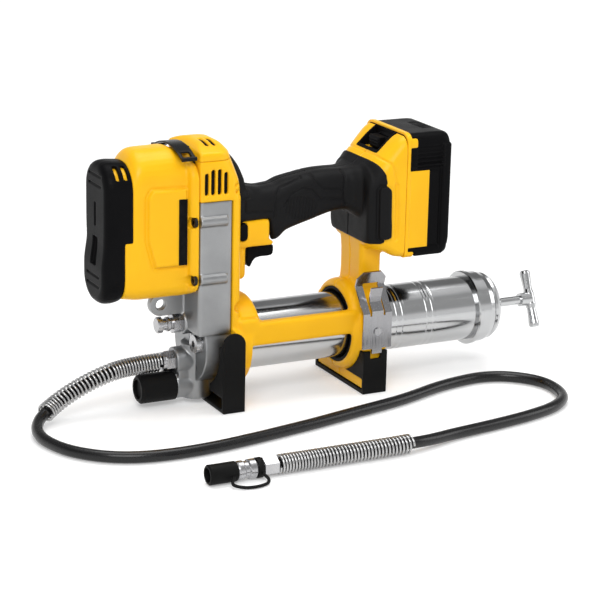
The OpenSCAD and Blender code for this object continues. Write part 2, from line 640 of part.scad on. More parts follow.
module frame_body() difference() {
  union() {
    column_loft();
    front_collar();
    side_bars();
    foot_cores();
    rear_ring();
    rear_post();
    holder_loft(0);
    handle_loft(grip_t);
    pillow_x(x_col - 2, x_grip + 28.5, block_hw, handle_z - 32, handle_z - 11.5, 4);
    pillow_x(x_col - 2, x_grip + 32, block_hw - 0.5, handle_z - 34.5, handle_z - 30.5, 1.9);
    pillow_x(x_col - 2, x_grip + 8, handle_hw - 3, handle_z - 63, handle_z - 30, 5);
  }
  // Seats of the front foot's cheeks
  for (s = [-1, 1]) arch_y(x_foot_f - snug, front_foot_len + 2 * snug, s > 0 ? core_hw - snug : -feet_w,
    s > 0 ? feet_w : snug - core_hw, -past, front_cheek_h + snug);
  boot_face(x_foot_f, socket_r + 4, front_face_top, snug);
  boot_face(x_foot_r, ring_r + 2 * snug, rear_cheek_h, snug);
  // Gear case, barrel socket and ports
  wide(x_head - past, x_back + snug, head_w, -past, head_top + snug);
  rod_x(x_foot_f - past, x_sock + snug, socket_r + snug, 0, barrel_z);
  rod_x(x_back - past, x_ring + ring_len + past, clear_r, 0, barrel_z);
  rod_x(x_ring - past, x_ring + ring_len - 1, guide_r + snug, 0, barrel_z);
  // Room over the gear case, with four arched vents each side
  wide(x_head + 4, x_back + 2, head_hw - 4, head_top - past, cover_z + past);
  for (k = [0 : 3]) wide(x_head + 5 + 6 * k, x_head + 8 + 6 * k, head_w, head_top + 5.5,
    head_top + (k == 0 || k == 3 ? 21.5 : 26));
  // Trigger pocket, switch room and lock-off slot
  wide(x_grip + 8, x_trigger + 26.5, trigger_w / 2 + gap, trigger_z - 10, switch_z);
  wide(x_grip + 13, x_grip + 29, 10, switch_z - past, switch_z + 20);
  lock_outline(gap, -head_w, head_w);
  // Battery slide, open at the top, and the latch notch
  wide(rail_x - gap, neck_x + gap, rail_hw + gap, pack_low + 7, pack_top + past);
  wide(neck_x - gap, x_pack + past, neck_hw + gap, pack_low + 7, pack_top + past);
  wide(notch_x, x_pack + past, notch_hw, notch_z, pack_top + past);
  wide(rail_x - 7, rail_x, terminal_hw + snug, pack_low + 18, pack_low + 50);
}

module left_frame() color(yellow) place() intersection() {
  frame_body();
  block(x_head - past, x_end, -feet_w, 0, 0, dome_z);
}
module right_frame() color(yellow) place() intersection() {
  frame_body();
  block(x_head - past, x_end, 0, feet_w, 0, dome_z);
}

// Soft overmould: handle skin, a strip up the back of the column, and a patch on the battery holder
patch_t = 1.2;
strip_stations = [[8, 15, 0], [14, 13, 0], [20.5, 11.8, 0], [27, 9.7, 0], [36, 5.7, 2],
  [cover_z - handle_z - 2.5, -0.8, 6], [cover_z - handle_z - snug, -3, 8]];
module back_strip() loft([for (s = strip_stations)
  ring_z(handle_z + s[0], x_col - 14, x_col + s[1], handle_hw - 1 - s[2], 2, 8)]);
module patch_outline() rotate([90, 0, 0]) linear_extrude(pack_w + 20, center = true)
  polygon([[x_holder - 6, pack_low + 14], [x_holder + 14, pack_low + 14],
    [x_holder + 17.5, pack_low + 17],
    [x_holder + 17.5, pack_low + 68], [x_holder + 16.5, pack_low + 75], [x_holder + 13, pack_low + 81],
    [x_holder + 4, pack_low + 91], [x_holder - 6, pack_low + 91]]);
module grip_body() {
  difference() {
    union() {
      handle_loft(0);
      back_strip();
    }
    handle_loft(grip_t);
    holder_loft(0);
    column_loft();
    wide(x_col - 20, x_grip + 34.1, handle_w, 0, handle_z - 11.5);
    wide(x_col - 20, x_col, handle_w, 0, handle_z + 15);
  }
  difference() {
    union() {
      intersection() {
        holder_loft(patch_t);
        patch_outline();
      }
      for (s = [-1, 1]) grip_bar(s);
    }
    holder_loft(0);
    handle_loft(0);
    rear_post();
  }
}
// Raised upright bar at the back of the patch
module grip_bar(s) intersection() {
  pillow_y(x_holder + 10.5, x_holder + 22, -pack_w, pack_w, pack_low + 18, pack_low + 64, 3.5);
  holder_loft(3);
  block(x_holder, x_pack, min(0, s * pack_w), max(0, s * pack_w), pack_low, pack_top);
}
module left_grip() color(black) place() intersection() {
  grip_body();
  block(x_col - 20, x_pack, -feet_w, 0, 0, dome_z);
}
module right_grip() color(black) place() intersection() {
  grip_body();
  block(x_col - 20, x_pack, 0, feet_w, 0, dome_z);
}

// Liner of the latch notch
bezel_t = 2;
module latch_bezel() color(black) place() difference() {
  intersection() {
    holder_loft(0.4);
    wide(notch_x + snug, x_pack - past, notch_hw - snug, notch_z + snug, pack_top);
  }
  wide(notch_x + bezel_t + snug, x_pack, notch_hw - bezel_t, notch_z - past, pack_top + past);
}

// Rubber on the front face of a foot, cut round the barrel, with a bare strip below it
face_t = 2;
strip_top = 13;
front_face_top = front_cheek_h - 12;
module boot_face(x0, hole_r, top, grow) difference() {
  wide(x0 - (grow > 0 ? past : 0), x0 + face_t + grow, core_hw + (grow > 0 ? 0 : past),
    strip_top - grow, top + grow);
  rod_x(x0 - 2 * past, x0 + face_t + past, hole_r - grow, 0, barrel_z);
  if (x0 < x_back) wide(x0 - 2 * past, x0 + face_t + past, boss_r + 4 - grow, 0, barrel_z);
}
module foot_boot(x0, len, cheek_h, round_top) difference() {
  if (round_top) arch_y(x0, len, -feet_hw, feet_hw, 0, cheek_h);
  else block(x0, x0 + len, -feet_hw, feet_hw, 0, cheek_h);
  wide(x0 - past, x0 + len + past, core_hw, rubber_t, barrel_z + barrel_r + 40);
}
module front_foot() color(black) place() {
  foot_boot(x_foot_f, front_foot_len, front_cheek_h, true);
  boot_face(x_foot_f, socket_r + 4, front_face_top, 0);
}
module rear_foot() color(black) place() difference() {
  union() {
    foot_boot(x_foot_r, rear_foot_len, rear_cheek_h, false);
    boot_face(x_foot_r, ring_r + 2 * snug, rear_cheek_h, 0);
  }
  block(x_clip - 5, x_clip + 5, -feet_hw - past, -core_hw + past, rear_cheek_h - 7, rear_cheek_h + past);
}

module barrel_guide() color(black) place()
  turned([[x_ring + 0.5, barrel_r + gap + 2], [x_ring + 2.5, barrel_r + gap],
  [x_ring + ring_len - 1 - snug, barrel_r + gap], [x_ring + ring_len - 1 - snug, guide_r],
    [x_ring + 0.5, guide_r]],
  barrel_z);

// Steel strip along a path of [y, z] points, between two stations along X
function side_of(path, i) = let (d = unit(path[min(i + 1, len(path) - 1)] - path[min(i, len(path) - 2)]),
  e = unit(path[max(i, 1)] - path[max(i - 1, 0)]), m = unit(d + e), n = [-m[1], m[0]])
  n / (n * [-d[1], d[0]]);
module bent_strip(x0, x1, path) translate([x0, 0, 0]) rotate([90, 0, 90]) linear_extrude(x1 - x0)
  polygon(concat([for (i = [0 : len(path) - 1]) path[i] + side_of(path, i) * sheet_t / 2],
    [for (i = [len(path) - 1 : -1 : 0]) path[i] - side_of(path, i) * sheet_t / 2]));
x_clip = x_foot_r + rear_foot_len / 2;
clip_hw = 13.8;
clip_arm = 6.5;
clip_y = -feet_hw - sheet_t / 2;
clip_z = barrel_z + 18;
clip_back = [clip_y + 16, clip_z + 23];
clip_top = [clip_y + 11, clip_z + 36];
module hose_clip() color(steel) place() difference() {
  union() {
    block(x_clip - clip_hw, x_clip + clip_hw, -feet_hw - sheet_t, -feet_hw, rear_cheek_h + 3, clip_z);
    block(x_clip - 4.7, x_clip + 4.7, -feet_hw - sheet_t, -feet_hw, rear_cheek_h - 1.5, rear_cheek_h + 4);
    for (s = [-1, 1]) bent_strip(x_clip + s * (clip_hw - clip_arm / 2) - clip_arm / 2,
      x_clip + s * (clip_hw - clip_arm / 2) + clip_arm / 2,
      [[clip_y, clip_z - past], [clip_y, clip_z + 2], clip_back, clip_top]);
    bent_strip(x_clip - clip_hw, x_clip + clip_hw, [0.8 * clip_back + 0.2 * clip_top, clip_top]);
    bent_strip(x_clip - 5.5, x_clip + 5.5, [[clip_y, clip_z - past], [clip_y, clip_z + 4],
      [clip_y + 5.5, clip_z + 11], [clip_y + 5, clip_z + 16], [clip_y + 2.5, clip_z + 24]]);
  }
  rod_y(clip_y - 2, clip_y + 2, 2 + fit, x_clip, barrel_z + 4);
  for (s = [-1, 1]) translate([x_clip + s * clip_hw, clip_y + 10, clip_z + 36]) rotate([0, 45, 0])
    cube([8, 24, 8], center = true);
}
module clip_screw() color(steel) place() {
  rod_y(-feet_hw - sheet_t - 1.4, -feet_hw - sheet_t, 3.2, x_clip, barrel_z + 4);
  rod_y(-feet_hw - sheet_t - snug, -feet_hw + snug, 2, x_clip, barrel_z + 4);
}

// Controls and contacts

module switch_body() color(black) place()
  wide(x_grip + 13 + gap, x_grip + 29 - gap, 10 - gap, switch_z + gap, switch_z + 20 - snug);

// Trigger with a hollow for the finger, sliding up into its pocket
module trigger() color(black) place() difference() {
  union() {
    wide(x_trigger, x_trigger + 24.5, trigger_w / 2, trigger_z, trigger_z + 9.5);
    wide(x_trigger, x_trigger + 9, trigger_w / 2, trigger_z - 8, trigger_z + past);
    wide(x_trigger + 4, x_trigger + 18, trigger_w / 2, trigger_z + 9, switch_z - trigger_travel - 1.5);
  }
  rod_y(-trigger_w, trigger_w, 8, x_trigger + 11, trigger_z - 8);
}

module lock_button() color(black) place() lock_outline(0, -block_hw - 1.5, lock_len - block_hw - 1.5);

blade_ys = [-10.5, -3.5, 3.5, 10.5];
module terminal_block() color(black) place() {
  wide(rail_x - 7 + snug, rail_x - gap, terminal_hw, pack_low + 18 + snug, pack_low + 50 - snug);
  for (y = blade_ys) block(rail_x - past, rail_x + 6, y - 0.4, y + 0.4, pack_low + 20, pack_low + 44);
}

// Battery pack: case with slide rails and a latch tower, cells, bare side panels and latch

pack_hw = pack_w / 2;
cell_pitch = cell_d + 0.2;
cell_z = pack_low + pack_h / 2;
tower_x = rail_x + 9;
lip_d = 7;
lip_t = 5.5;
band_d = 2.2;
// Outer form of the pack, its top falling away to the back
module pack_loft(grow) loft([
  ring_x(x_pack - grow, pack_hw + grow, pack_low - grow, pack_top + grow, 9, 5),
  ring_x(x_pack + 19, pack_hw + grow, pack_low - grow, pack_top + grow, 9, 5),
  ring_x(x_end - 6, pack_hw + grow, pack_low - grow, pack_top - 1.5 + grow, 9, 5),
  ring_x(x_end - 2, pack_hw - 1.2 + grow, pack_low + 1.5 - grow, pack_top - 4 + grow, 9, 5),
  ring_x(x_end + grow, pack_hw - 4 + grow, pack_low + 4 - grow, pack_top - 8 + grow, 8, 5)]);
// Room of the yellow lip: the top of the pack's front edge, and a narrow band down the sides
module lip_room(grow) {
  difference() {
    wide(x_pack - past, x_pack + lip_d + grow, pack_w, pack_top - 13 - grow, pack_top + past);
    wide(x_pack - 2 * past, x_pack + 2 * lip_d, pack_hw - 3 - grow, pack_low, pack_top - lip_t - grow);
  }
  difference() {
    wide(x_pack - past, x_pack + band_d + grow, pack_w, pack_low - past, pack_top + past);
    wide(x_pack - 2 * past, x_pack + 2 * lip_d, pack_hw - 1.6 - grow, pack_low + 1.6 + grow,
      pack_top - lip_t - grow);
  }
}
module battery_case() color(black) place() difference() {
  union() {
    pack_loft(0);
    wide(rail_x, neck_x, rail_hw, pack_low + 7.5, notch_z - 1);
    wide(rail_x, x_pack + past, neck_hw, pack_low + 7.5, notch_z - 1);
    wide(tower_x, x_pack + past, neck_hw - 1, notch_z - 2, pack_top - lip_t - past);
    for (k = [0 : 4], s = [-1, 1]) block(x_pack + 4, x_end - 7, s * pack_hw - 0.6, s * pack_hw + 0.6,
      pack_top - 12 - 4 * k, pack_top - 10 - 4 * k);
  }
  wide(x_pack + 1.7, x_end - 1.2, cell_len / 2 + 0.8, cell_z - 2.5 * cell_pitch - snug,
    cell_z + 2.5 * cell_pitch + snug);
  for (y = blade_ys) block(rail_x - past, rail_x + 7, y - 0.9, y + 0.9, pack_low, pack_low + 46);
  wide(tower_x - past, tower_x + 6, latch_hw + gap, notch_z + 1 - gap, notch_z + 11.5 + gap);
  lip_room(snug);
}
// Yellow trim of the pack: a bare panel on each side and the lip along its top edge
module battery_panel() color(yellow) place() {
  for (s = [-1, 1]) block(x_pack + 4, x_end - 7, s * pack_hw - (s < 0 ? 0.9 : 0),
    s * pack_hw + (s > 0 ? 0.9 : 0),
    pack_low + 7, pack_top - 33);
  intersection() {
    pack_loft(0);
    lip_room(0);
  }
}
module battery_cells() color(steel) place() for (c = [0, 1], k = [-2 : 2])
  rod_y(-cell_len / 2, cell_len / 2, cell_d / 2, x_pack + 1.7 + snug + cell_d / 2 + c * cell_pitch,
    cell_z + k * cell_pitch);

latch_hw = 9;
module latch_button() color(black) place() {
  wide(tower_x - 5, tower_x + 2.5, latch_hw, notch_z + 1, notch_z + 11.5);
  for (k = [0 : 2]) wide(tower_x - 6, tower_x - 4, latch_hw - 1, notch_z + 2.6 + 3 * k,
    notch_z + 4.2 + 3 * k);
}

// Barrel

module barrel_tube() color(steel) place() turned([[x_seat + snug, bore_r], [x_seat + snug, barrel_r],
  for (b = [112, 118, 158, 164, 188, 194])
    each [[x_seat + b, barrel_r], [x_seat + b + 1, barrel_r - 0.25],
    [x_seat + b + 3, barrel_r - 0.25], [x_seat + b + 4, barrel_r]],
  [x_tube, barrel_r], [x_tube, bore_r]], barrel_z);

cap_r = barrel_r + 4.5;
module barrel_end_cap() color(steel) place()
  turned([[x_cap, barrel_r + fit], [x_cap, cap_r - 1], [x_cap + 1, cap_r],
  [x_cap + 4, cap_r], [x_cap + 5, cap_r - 1.5], [x_cap + 13, cap_r - 1.5], [x_cap + 17, cap_r - 2.5],
  [x_cap + 19, cap_r - 4], [x_cap + 21, cap_r - 3.4], [x_cap + 24, cap_r - 5], [x_cap + 28, cap_r - 10],
  [x_cap + 29, cap_r - 14], [x_cap + cap_len - 2, rod_d / 2 + 7], [x_cap + cap_len, rod_d / 2 + 5],
  [x_cap + cap_len, rod_d / 2 + fit], [x_tube + 4, rod_d / 2 + fit], [x_tube + 4, bore_r - 4],
    [x_tube + snug, bore_r - 4],
  [x_tube + snug, barrel_r + fit]], barrel_z);

x_follower = x_seat + 5;
module follower() color(black) place() turned([[x_follower, rod_d / 2 + fit], [x_follower, bore_r - 3],
  [x_follower + 2, bore_r - gap], [x_follower + 5, bore_r - gap], [x_follower + 6.5, bore_r - 2],
  [x_follower + follower_t - 3, bore_r - gap], [x_follower + follower_t, bore_r - gap],
  [x_follower + follower_t, rod_d / 2 + 9], [x_follower + follower_t - 4, rod_d / 2 + 7],
  [x_follower + follower_t - 4, rod_d / 2 + fit]], barrel_z);

x_rod0 = x_follower - 3.5;
module follower_rod() color(steel) place() {
  rod_x(x_rod0 + past, x_tbar, rod_d / 2, 0, barrel_z);
  rod_x(x_rod0, x_follower - gap, rod_d / 2 + 3, 0, barrel_z);
  rod_x(x_follower + follower_t - 4 + gap, x_follower + follower_t - 1, rod_d / 2 + 4, 0, barrel_z);
}

// Bar across the rod, thicker at its round ends, with a hub
module t_handle() color(steel) place() translate([x_tbar, 0, barrel_z]) rotate([tbar_turn, 0, 0])
  difference() {
  union() {
    translate([0, 0, -tbar_len / 2]) rotate_extrude()
      polygon([[0, 0], [tbar_r - 1.5, 0], [tbar_r - 0.4, 1], [tbar_r, 3],
      [tbar_r - 0.4, 7], [tbar_r - 1, tbar_len / 2 - 9], [tbar_r, tbar_len / 2 - 5],
        [tbar_r, tbar_len / 2 + 5],
      [tbar_r - 1, tbar_len / 2 + 9], [tbar_r - 0.4, tbar_len - 7], [tbar_r, tbar_len - 3],
        [tbar_r - 0.4, tbar_len - 1],
      [tbar_r - 1.5, tbar_len], [0, tbar_len]]);
    rod_x(-tbar_r - 6, 0, rod_d / 2 + 2, 0, 0);
  }
  rod_x(-tbar_r - 7, snug, rod_d / 2 + fit, 0, 0);
}

// Swept tubes

function unit(v) = v / norm(v);
// Ring of points round p, square to the direction t, starting from the side e
function ring_at(p, t, e, r, sides) = let (u = unit(e - (e * t) * t), v = cross(t, u))
  [for (i = [0 : sides - 1]) p + r * (cos(360 * i / sides) * u + sin(360 * i / sides) * v)];
function tangent(pts, i) = unit(pts[min(i + 1, len(pts) - 1)] - pts[max(i - 1, 0)]);
module tube(pts, r, sides) loft([for (i = [0 : len(pts) - 1])
  ring_at(pts[i], tangent(pts, i), [0, 0, 1], r, sides)]);

// Smooth curve through hand-chosen points, with its length measured along it
function smooth(a, b, c, d, u) = 0.5 * (2 * b + (c - a) * u + (2 * a - 5 * b + 4 * c - d) * u * u
  + (3 * b - a - 3 * c + d) * u * u * u);
function curve(pts, n) = let (m = len(pts) - 1) [for (k = [0 : m - 1], i = [0 : n - 1])
  smooth(pts[max(k - 1, 0)], pts[k], pts[k + 1], pts[min(k + 2, m)], i / n), pts[m]];
function lengths(pts) = [for (i = 0, s = 0; i < len(pts); i = i + 1,
  s = i < len(pts) ? s + norm(pts[i] - pts[i - 1]) : s) s];
function along(s, pts, sums) = [for (c = [0 : 2])
  lookup(s, [for (i = [0 : len(pts) - 1]) [sums[i], pts[i][c]]])];

// Hose route from the pump nut to the coupler nut, as it lies in use
x_nut = x_port - 11;
guard_z = guard_d / 2 + 0.2;
x_coupler = -113;
coupler_y = -188;
hose_route = [[x_nut, 0, port_z], [x_nut - 20, 0, port_z - 0.5], [-172, -1, 35], [-195, -3, 29],
  [-216, -6, 21],
  [-234, -12, 13], [-247, -24, 8.5], [-254, -42, 6], [-253, -64, 5], [-242, -92, 5], [-218, -115, 5],
    [-184, -126, 5],
  [-132, -125, 5], [-53, -110, 5], [0, -97, 5], [55, -83, 5], [100, -66, 5], [128, -59, 5], [152, -57, 5],
  [173, -64, 5], [190, -82, 5], [195, -104, 5], [188, -130, 5], [168, -148, 5], [138, -159, 5],
    [100, -167, 5],
  [55, -175, 5.5], [28, -183, 7], [8, coupler_y + 1, guard_z], [-20, coupler_y, guard_z],
    [-60, coupler_y, guard_z],
  [x_coupler, coupler_y, guard_z]];
hose_pts = curve(hose_route, 8);
hose_sums = lengths(hose_pts);
hose_len = hose_sums[len(hose_sums) - 1];
hose_rings = 64;
hose_sides = 10;
echo("hose length", hose_len);
module hose() color(black) place()
  tube([for (i = [0 : hose_rings]) along(i * hose_len / hose_rings, hose_pts, hose_sums)], hose_d / 2,
    hose_sides);

// Wire guards: close turns at both ends, open turns between, wound round the hose
curl_rings = 8;
wire_sides = 6;
guard_r = guard_d / 2 - guard_wire / 2;
close_pitch = guard_wire + 0.65;
bend_pitch = guard_wire + 1.15;
// Place along a guard of a turn, with n0 turns at pitch p0, n1 open turns and n2 turns at pitch p2
function place_of(turn, len, n0, n1, n2, p0, p2) = lookup(turn, [[0, 0], [n0, n0 * p0],
  [n0 + n1, len - n2 * p2], [n0 + n1 + n2, len]]);
function winding(s0, len, n0, n1, n2, p0, p2) = let (lead = guard_wire / 2 + gap, run = len - 2 * lead)
  [for (i = [0 : (n0 + n1 + n2) * curl_rings])
    let (turn = i / curl_rings, s = s0 + lead + place_of(turn, run, n0, n1, n2, p0, p2),
      p = along(s, hose_pts, hose_sums),
      t = unit(along(s + 1, hose_pts, hose_sums) - along(s - 1, hose_pts, hose_sums)),
      u = unit(cross([0, 0, 1], t)), v = cross(t, u))
    p + guard_r * (cos(360 * turn) * u + sin(360 * turn) * v)];
function with_ends(w, d) = concat([w[0] + d * unit(w[0] - w[1])], w, [w[len(w) - 1]
  + d * unit(w[len(w) - 1] - w[len(w) - 2])]);
function least_gap(w, d) = min([for (i = [0 : len(w) - 1 - curl_rings / 2])
  min([for (j = [i + curl_rings / 2 : min(i + 2 * curl_rings, len(w) - 1)]) norm(w[i] - w[j])])]) - d;
module wire(w, d, axis_dir) let (pts = with_ends(w, d)) loft([for (i = [0 : len(pts) - 1])
  ring_at(pts[i], tangent(pts, i), axis_dir, d / 2, wire_sides)]);
pump_turns = [16, 15, 5];
coupler_turns = [10, 16, 14];
pump_wound = winding(0, pump_guard_len, pump_turns[0], pump_turns[1], pump_turns[2], close_pitch,
  bend_pitch);
coupler_wound = winding(hose_len - coupler_guard_len, coupler_guard_len,
  coupler_turns[0], coupler_turns[1], coupler_turns[2], bend_pitch, close_pitch);
echo("pump guard least gap", least_gap(pump_wound, guard_wire));
echo("coupler guard least gap", least_gap(coupler_wound, guard_wire));
module pump_guard() color(steel) place() wire(pump_wound, guard_wire, [1, 0, 0]);
module coupler_guard() color(steel) place() wire(coupler_wound, guard_wire, [1, 0, 0]);

// Follower spring, at its full length behind the follower
spring_r = bore_r - spring_wire / 2 - 1.5;
spring_x0 = x_follower + follower_t + spring_wire / 2 + 3 * gap;
spring_x1 = x_tube - spring_wire / 2 - 3 * gap;
spring_wound = [for (i = [0 : spring_turns * curl_rings])
  let (turn = i / curl_rings, f = i / (spring_turns * curl_rings))
  [spring_x0 + (spring_x1 - spring_x0) * f, spring_r * cos(360 * turn),
    barrel_z + spring_r * sin(360 * turn)]];
echo("follower spring least gap", least_gap(spring_wound, spring_wire));
module follower_spring() color(steel) place() wire(spring_wound, spring_wire, [1, 0, 0]);

// Hose fittings and coupler

module hose_nut() color(steel) place() difference() {
  union() {
    hex_x(x_nut + 3, x_port - snug, 9, 0, port_z);
    rod_x(x_nut + snug, x_nut + 4, 8, 0, port_z);
    rod_x(x_port - past, x_port + 8, 4.4, 0, port_z);
  }
  rod_x(x_nut - past, x_port + 9, 2, 0, port_z);
}

nut_len = 12;
body_len = 22;
x_body = x_coupler - nut_len;
x_front = x_body - body_len;
nose_r = 5.8;
nose_len = 17;
dust_cap_r = dust_cap_d / 2;
module coupler_nut() color(steel) place() difference() {
  hex_x(x_body + snug, x_coupler - snug, 8.1, coupler_y, guard_z);
  rod_x(x_body - past, x_coupler + past, 2, coupler_y, guard_z);
}
module coupler_body() color(steel) place() difference() {
  turned([[x_front - nose_len, 2], [x_front - nose_len, nose_r - 1], [x_front - nose_len + 1, nose_r],
    [x_front, nose_r],
    [x_front, 7], [x_front + 1, 7.6], [x_front + 5, 7.6], [x_front + 6, 6.6], [x_front + 9, 6.6],
      [x_front + 10, 7.8],
    [x_front + 15, 7.8], [x_front + 16, 6], [x_body, 6], [x_body, 2]], guard_z, coupler_y);
  rod_x(x_front - nose_len - past, x_front - nose_len + 10, 3.6, coupler_y, guard_z);
}
// Rubber cap over the coupler nose, with a hollow outer end
cap_reach = 24;
module dust_cap() color(black) place()
  turned([[x_front - gap, nose_r + gap], [x_front - gap, dust_cap_r - 0.6],
  [x_front - 1.2, dust_cap_r], [x_front - cap_reach + 1, dust_cap_r],
    [x_front - cap_reach, dust_cap_r - 1],
  [x_front - cap_reach, nose_r], [x_front - nose_len - 2.6, nose_r - 0.6], [x_front - nose_len - 2.6, 0],
  [x_front - nose_len - gap, 0], [x_front - nose_len - gap, nose_r + gap]], guard_z, coupler_y);

// Ring on the coupler and the loop that ties the cap to it
tether_r = 1.3;
ring_x0 = x_front + 16.4;
loop_route = [[ring_x0 + 2.4, coupler_y - 9.2, guard_z - 2], [ring_x0 + 5, coupler_y - 13, 3.5],
  [ring_x0 + 2, coupler_y - 18, 1.8],
  [ring_x0 - 8, coupler_y - 21, 1.6], [ring_x0 - 18, coupler_y - 19, 1.6],
    [ring_x0 - 25, coupler_y - 14, 3.2],
  [x_front - 6, coupler_y - dust_cap_r - tether_r - gap, guard_z - 1]];
module tether() color(black) place() {
  turned([[ring_x0, 6.1], [ring_x0, 8.1], [ring_x0 + 4.8, 8.1], [ring_x0 + 4.8, 6.1]], guard_z,
    coupler_y);
  tube(curve([for (p = loop_route) p], 4), tether_r, 8);
}

pump_head();
foot_plug();
prime_plug();
fill_nipple();
relief_valve();
valve_cap();
check_ball();
motor_housing();
motor_end_cap();
housing_screws();
motor_can();
motor_rotor();
crank_gear();
plunger();
strap_bracket();
top_cover();
left_frame();
right_frame();
left_grip();
right_grip();
latch_bezel();
front_foot();
rear_foot();
barrel_guide();
hose_clip();
clip_screw();
switch_body();
trigger();
lock_button();
terminal_block();
battery_case();
battery_panel();
battery_cells();
latch_button();
barrel_tube();
barrel_end_cap();
follower();
follower_spring();
follower_rod();
t_handle();
hose_nut();
hose();
pump_guard();
coupler_guard();
coupler_nut();
coupler_body();
dust_cap();
tether();
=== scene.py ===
import bmesh
import bpy
import math
import numpy as np
from mathutils import Matrix, Vector


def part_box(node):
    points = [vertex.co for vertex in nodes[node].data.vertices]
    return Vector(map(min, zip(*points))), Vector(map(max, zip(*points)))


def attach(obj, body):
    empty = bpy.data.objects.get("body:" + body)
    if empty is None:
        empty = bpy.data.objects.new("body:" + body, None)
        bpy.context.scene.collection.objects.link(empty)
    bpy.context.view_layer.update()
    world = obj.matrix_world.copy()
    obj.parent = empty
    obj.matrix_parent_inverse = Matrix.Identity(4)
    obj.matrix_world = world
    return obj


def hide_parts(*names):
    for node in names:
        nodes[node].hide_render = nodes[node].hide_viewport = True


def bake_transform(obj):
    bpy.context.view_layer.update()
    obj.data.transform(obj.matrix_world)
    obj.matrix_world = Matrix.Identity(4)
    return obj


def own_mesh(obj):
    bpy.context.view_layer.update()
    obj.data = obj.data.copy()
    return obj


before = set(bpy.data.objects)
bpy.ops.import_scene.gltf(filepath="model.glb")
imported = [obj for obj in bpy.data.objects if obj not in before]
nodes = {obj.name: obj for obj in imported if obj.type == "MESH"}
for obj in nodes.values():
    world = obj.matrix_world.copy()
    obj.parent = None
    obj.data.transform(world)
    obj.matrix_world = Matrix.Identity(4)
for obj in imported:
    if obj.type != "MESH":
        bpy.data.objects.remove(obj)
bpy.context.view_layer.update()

# drawing millimetres to the row frame in metres
rowShift = (-25.5, 2.75)


def at(x, y, z):
    return Vector(((x + rowShift[0]) / 1000, (y + rowShift[1]) / 1000, z / 1000))


def linked(name, data):
    obj = bpy.data.objects.new(name, data)
    bpy.context.collection.objects.link(obj)
    return obj


# camera, as the photo was taken
viewSet = {"azimuth": -26.88, "elevation": 16.35, "roll": 1.265, "distance": 1.870,
           "focal": 2174.0, "imageSide": 600.0, "lookAt": (0.0, 0.0, 77.0), "sensor": 36.0,
           "farClip": 20.0}


def setCamera(s):
    a, e, roll = (math.radians(s[k]) for k in ("azimuth", "elevation", "roll"))
    back = Vector((math.sin(a) * math.cos(e), -math.cos(a) * math.cos(e), math.sin(e)))
    right = Vector((math.cos(a), math.sin(a), 0))
    up = back.cross(right)
    rightRolled = right * math.cos(roll) + up * math.sin(roll)
    upRolled = up * math.cos(roll) - right * math.sin(roll)
    cam = bpy.data.cameras.new("photoCamera")
    cam.sensor_width = s["sensor"]
    cam.lens = s["focal"] * s["sensor"] / s["imageSide"]
    cam.clip_end = s["farClip"]
    obj = linked("photoCamera", cam)
    turn = Matrix((rightRolled, upRolled, back)).transposed().to_4x4()
    obj.matrix_world = Matrix.Translation(at(*s["lookAt"]) + back * s["distance"]) @ turn
    bpy.context.scene.camera = obj
    bpy.context.scene.view_settings.view_transform = "Standard"


setCamera(viewSet)
print("camera set")


# small modelling helpers
def deselect():
    if bpy.context.object and bpy.context.object.mode != "OBJECT":
        bpy.ops.object.mode_set(mode="OBJECT")
    bpy.ops.object.select_all(action="DESELECT")


def pick(obj):
    deselect()
    obj.select_set(True)
    bpy.context.view_layer.objects.active = obj


def applyAll(obj):
    pick(obj)
    for m in list(obj.modifiers):
        bpy.ops.object.modifier_apply(modifier=m.name)


def settle(obj):
    pick(obj)
    bpy.ops.object.transform_apply(location=True, rotation=True, scale=True)
    return obj


def addModifier(obj, kind, **values):
    m = obj.modifiers.new(kind.lower(), kind)
    for k, v in values.items():
        setattr(m, k, v)


# shared shader groups
def newGroup(name, inputs, outputs):
    g = bpy.data.node_groups.new(name, "ShaderNodeTree")
    for label, kind, value in inputs:
        s = g.interface.new_socket(name=label, in_out="INPUT", socket_type=kind)
        s.default_value = value
    for label, kind in outputs:
        g.interface.new_socket(name=label, in_out="OUTPUT", socket_type=kind)
    return g, g.nodes.new("NodeGroupInput"), g.nodes.new("NodeGroupOutput")


def feed(tree, socket, value):
    # numbers and colours are set, outputs of other nodes are linked
    if isinstance(value, (int, float, tuple)):
        socket.default_value = value
    else:
        tree.links.new(value, socket)


def mathNode(tree, op, a, b, clamp=False):
    n = tree.nodes.new("ShaderNodeMath")
    n.operation = op
    n.use_clamp = clamp
    feed(tree, n.inputs[0], a)
    feed(tree, n.inputs[1], b)
    return n.outputs[0]


def rangeNode(tree, value, lo, hi, toLo, toHi):
    n = tree.nodes.new("ShaderNodeMapRange")
    labels = ("Value", "From Min", "From Max", "To Min", "To Max")
    for k, v in zip(labels, (value, lo, hi, toLo, toHi)):
        feed(tree, n.inputs[k], v)
    return n.outputs["Result"]


def noiseNode(tree, scale, detail, stretch=None):
    coord = tree.nodes.new("ShaderNodeTexCoord").outputs["Object"]
    if stretch:
        m = tree.nodes.new("ShaderNodeMapping")
        m.inputs["Scale"].default_value = stretch
        tree.links.new(coord, m.inputs["Vector"])
        coord = m.outputs["Vector"]
    n = tree.nodes.new("ShaderNodeTexNoise")
    tree.links.new(coord, n.inputs["Vector"])
    n.inputs["Detail"].default_value = detail
    feed(tree, n.inputs["Scale"], scale)
    return n.outputs["Fac"]


def mixNode(tree, factor, a, b):
    n = tree.nodes.new("ShaderNodeMix")
    n.data_type = "RGBA"
    # sockets 6 and 7 are the two colours, output 2 the mixed one
    for k, v in (("Factor", factor), (6, a), (7, b)):
        feed(tree, n.inputs[k], v)
    return n.outputs[2]


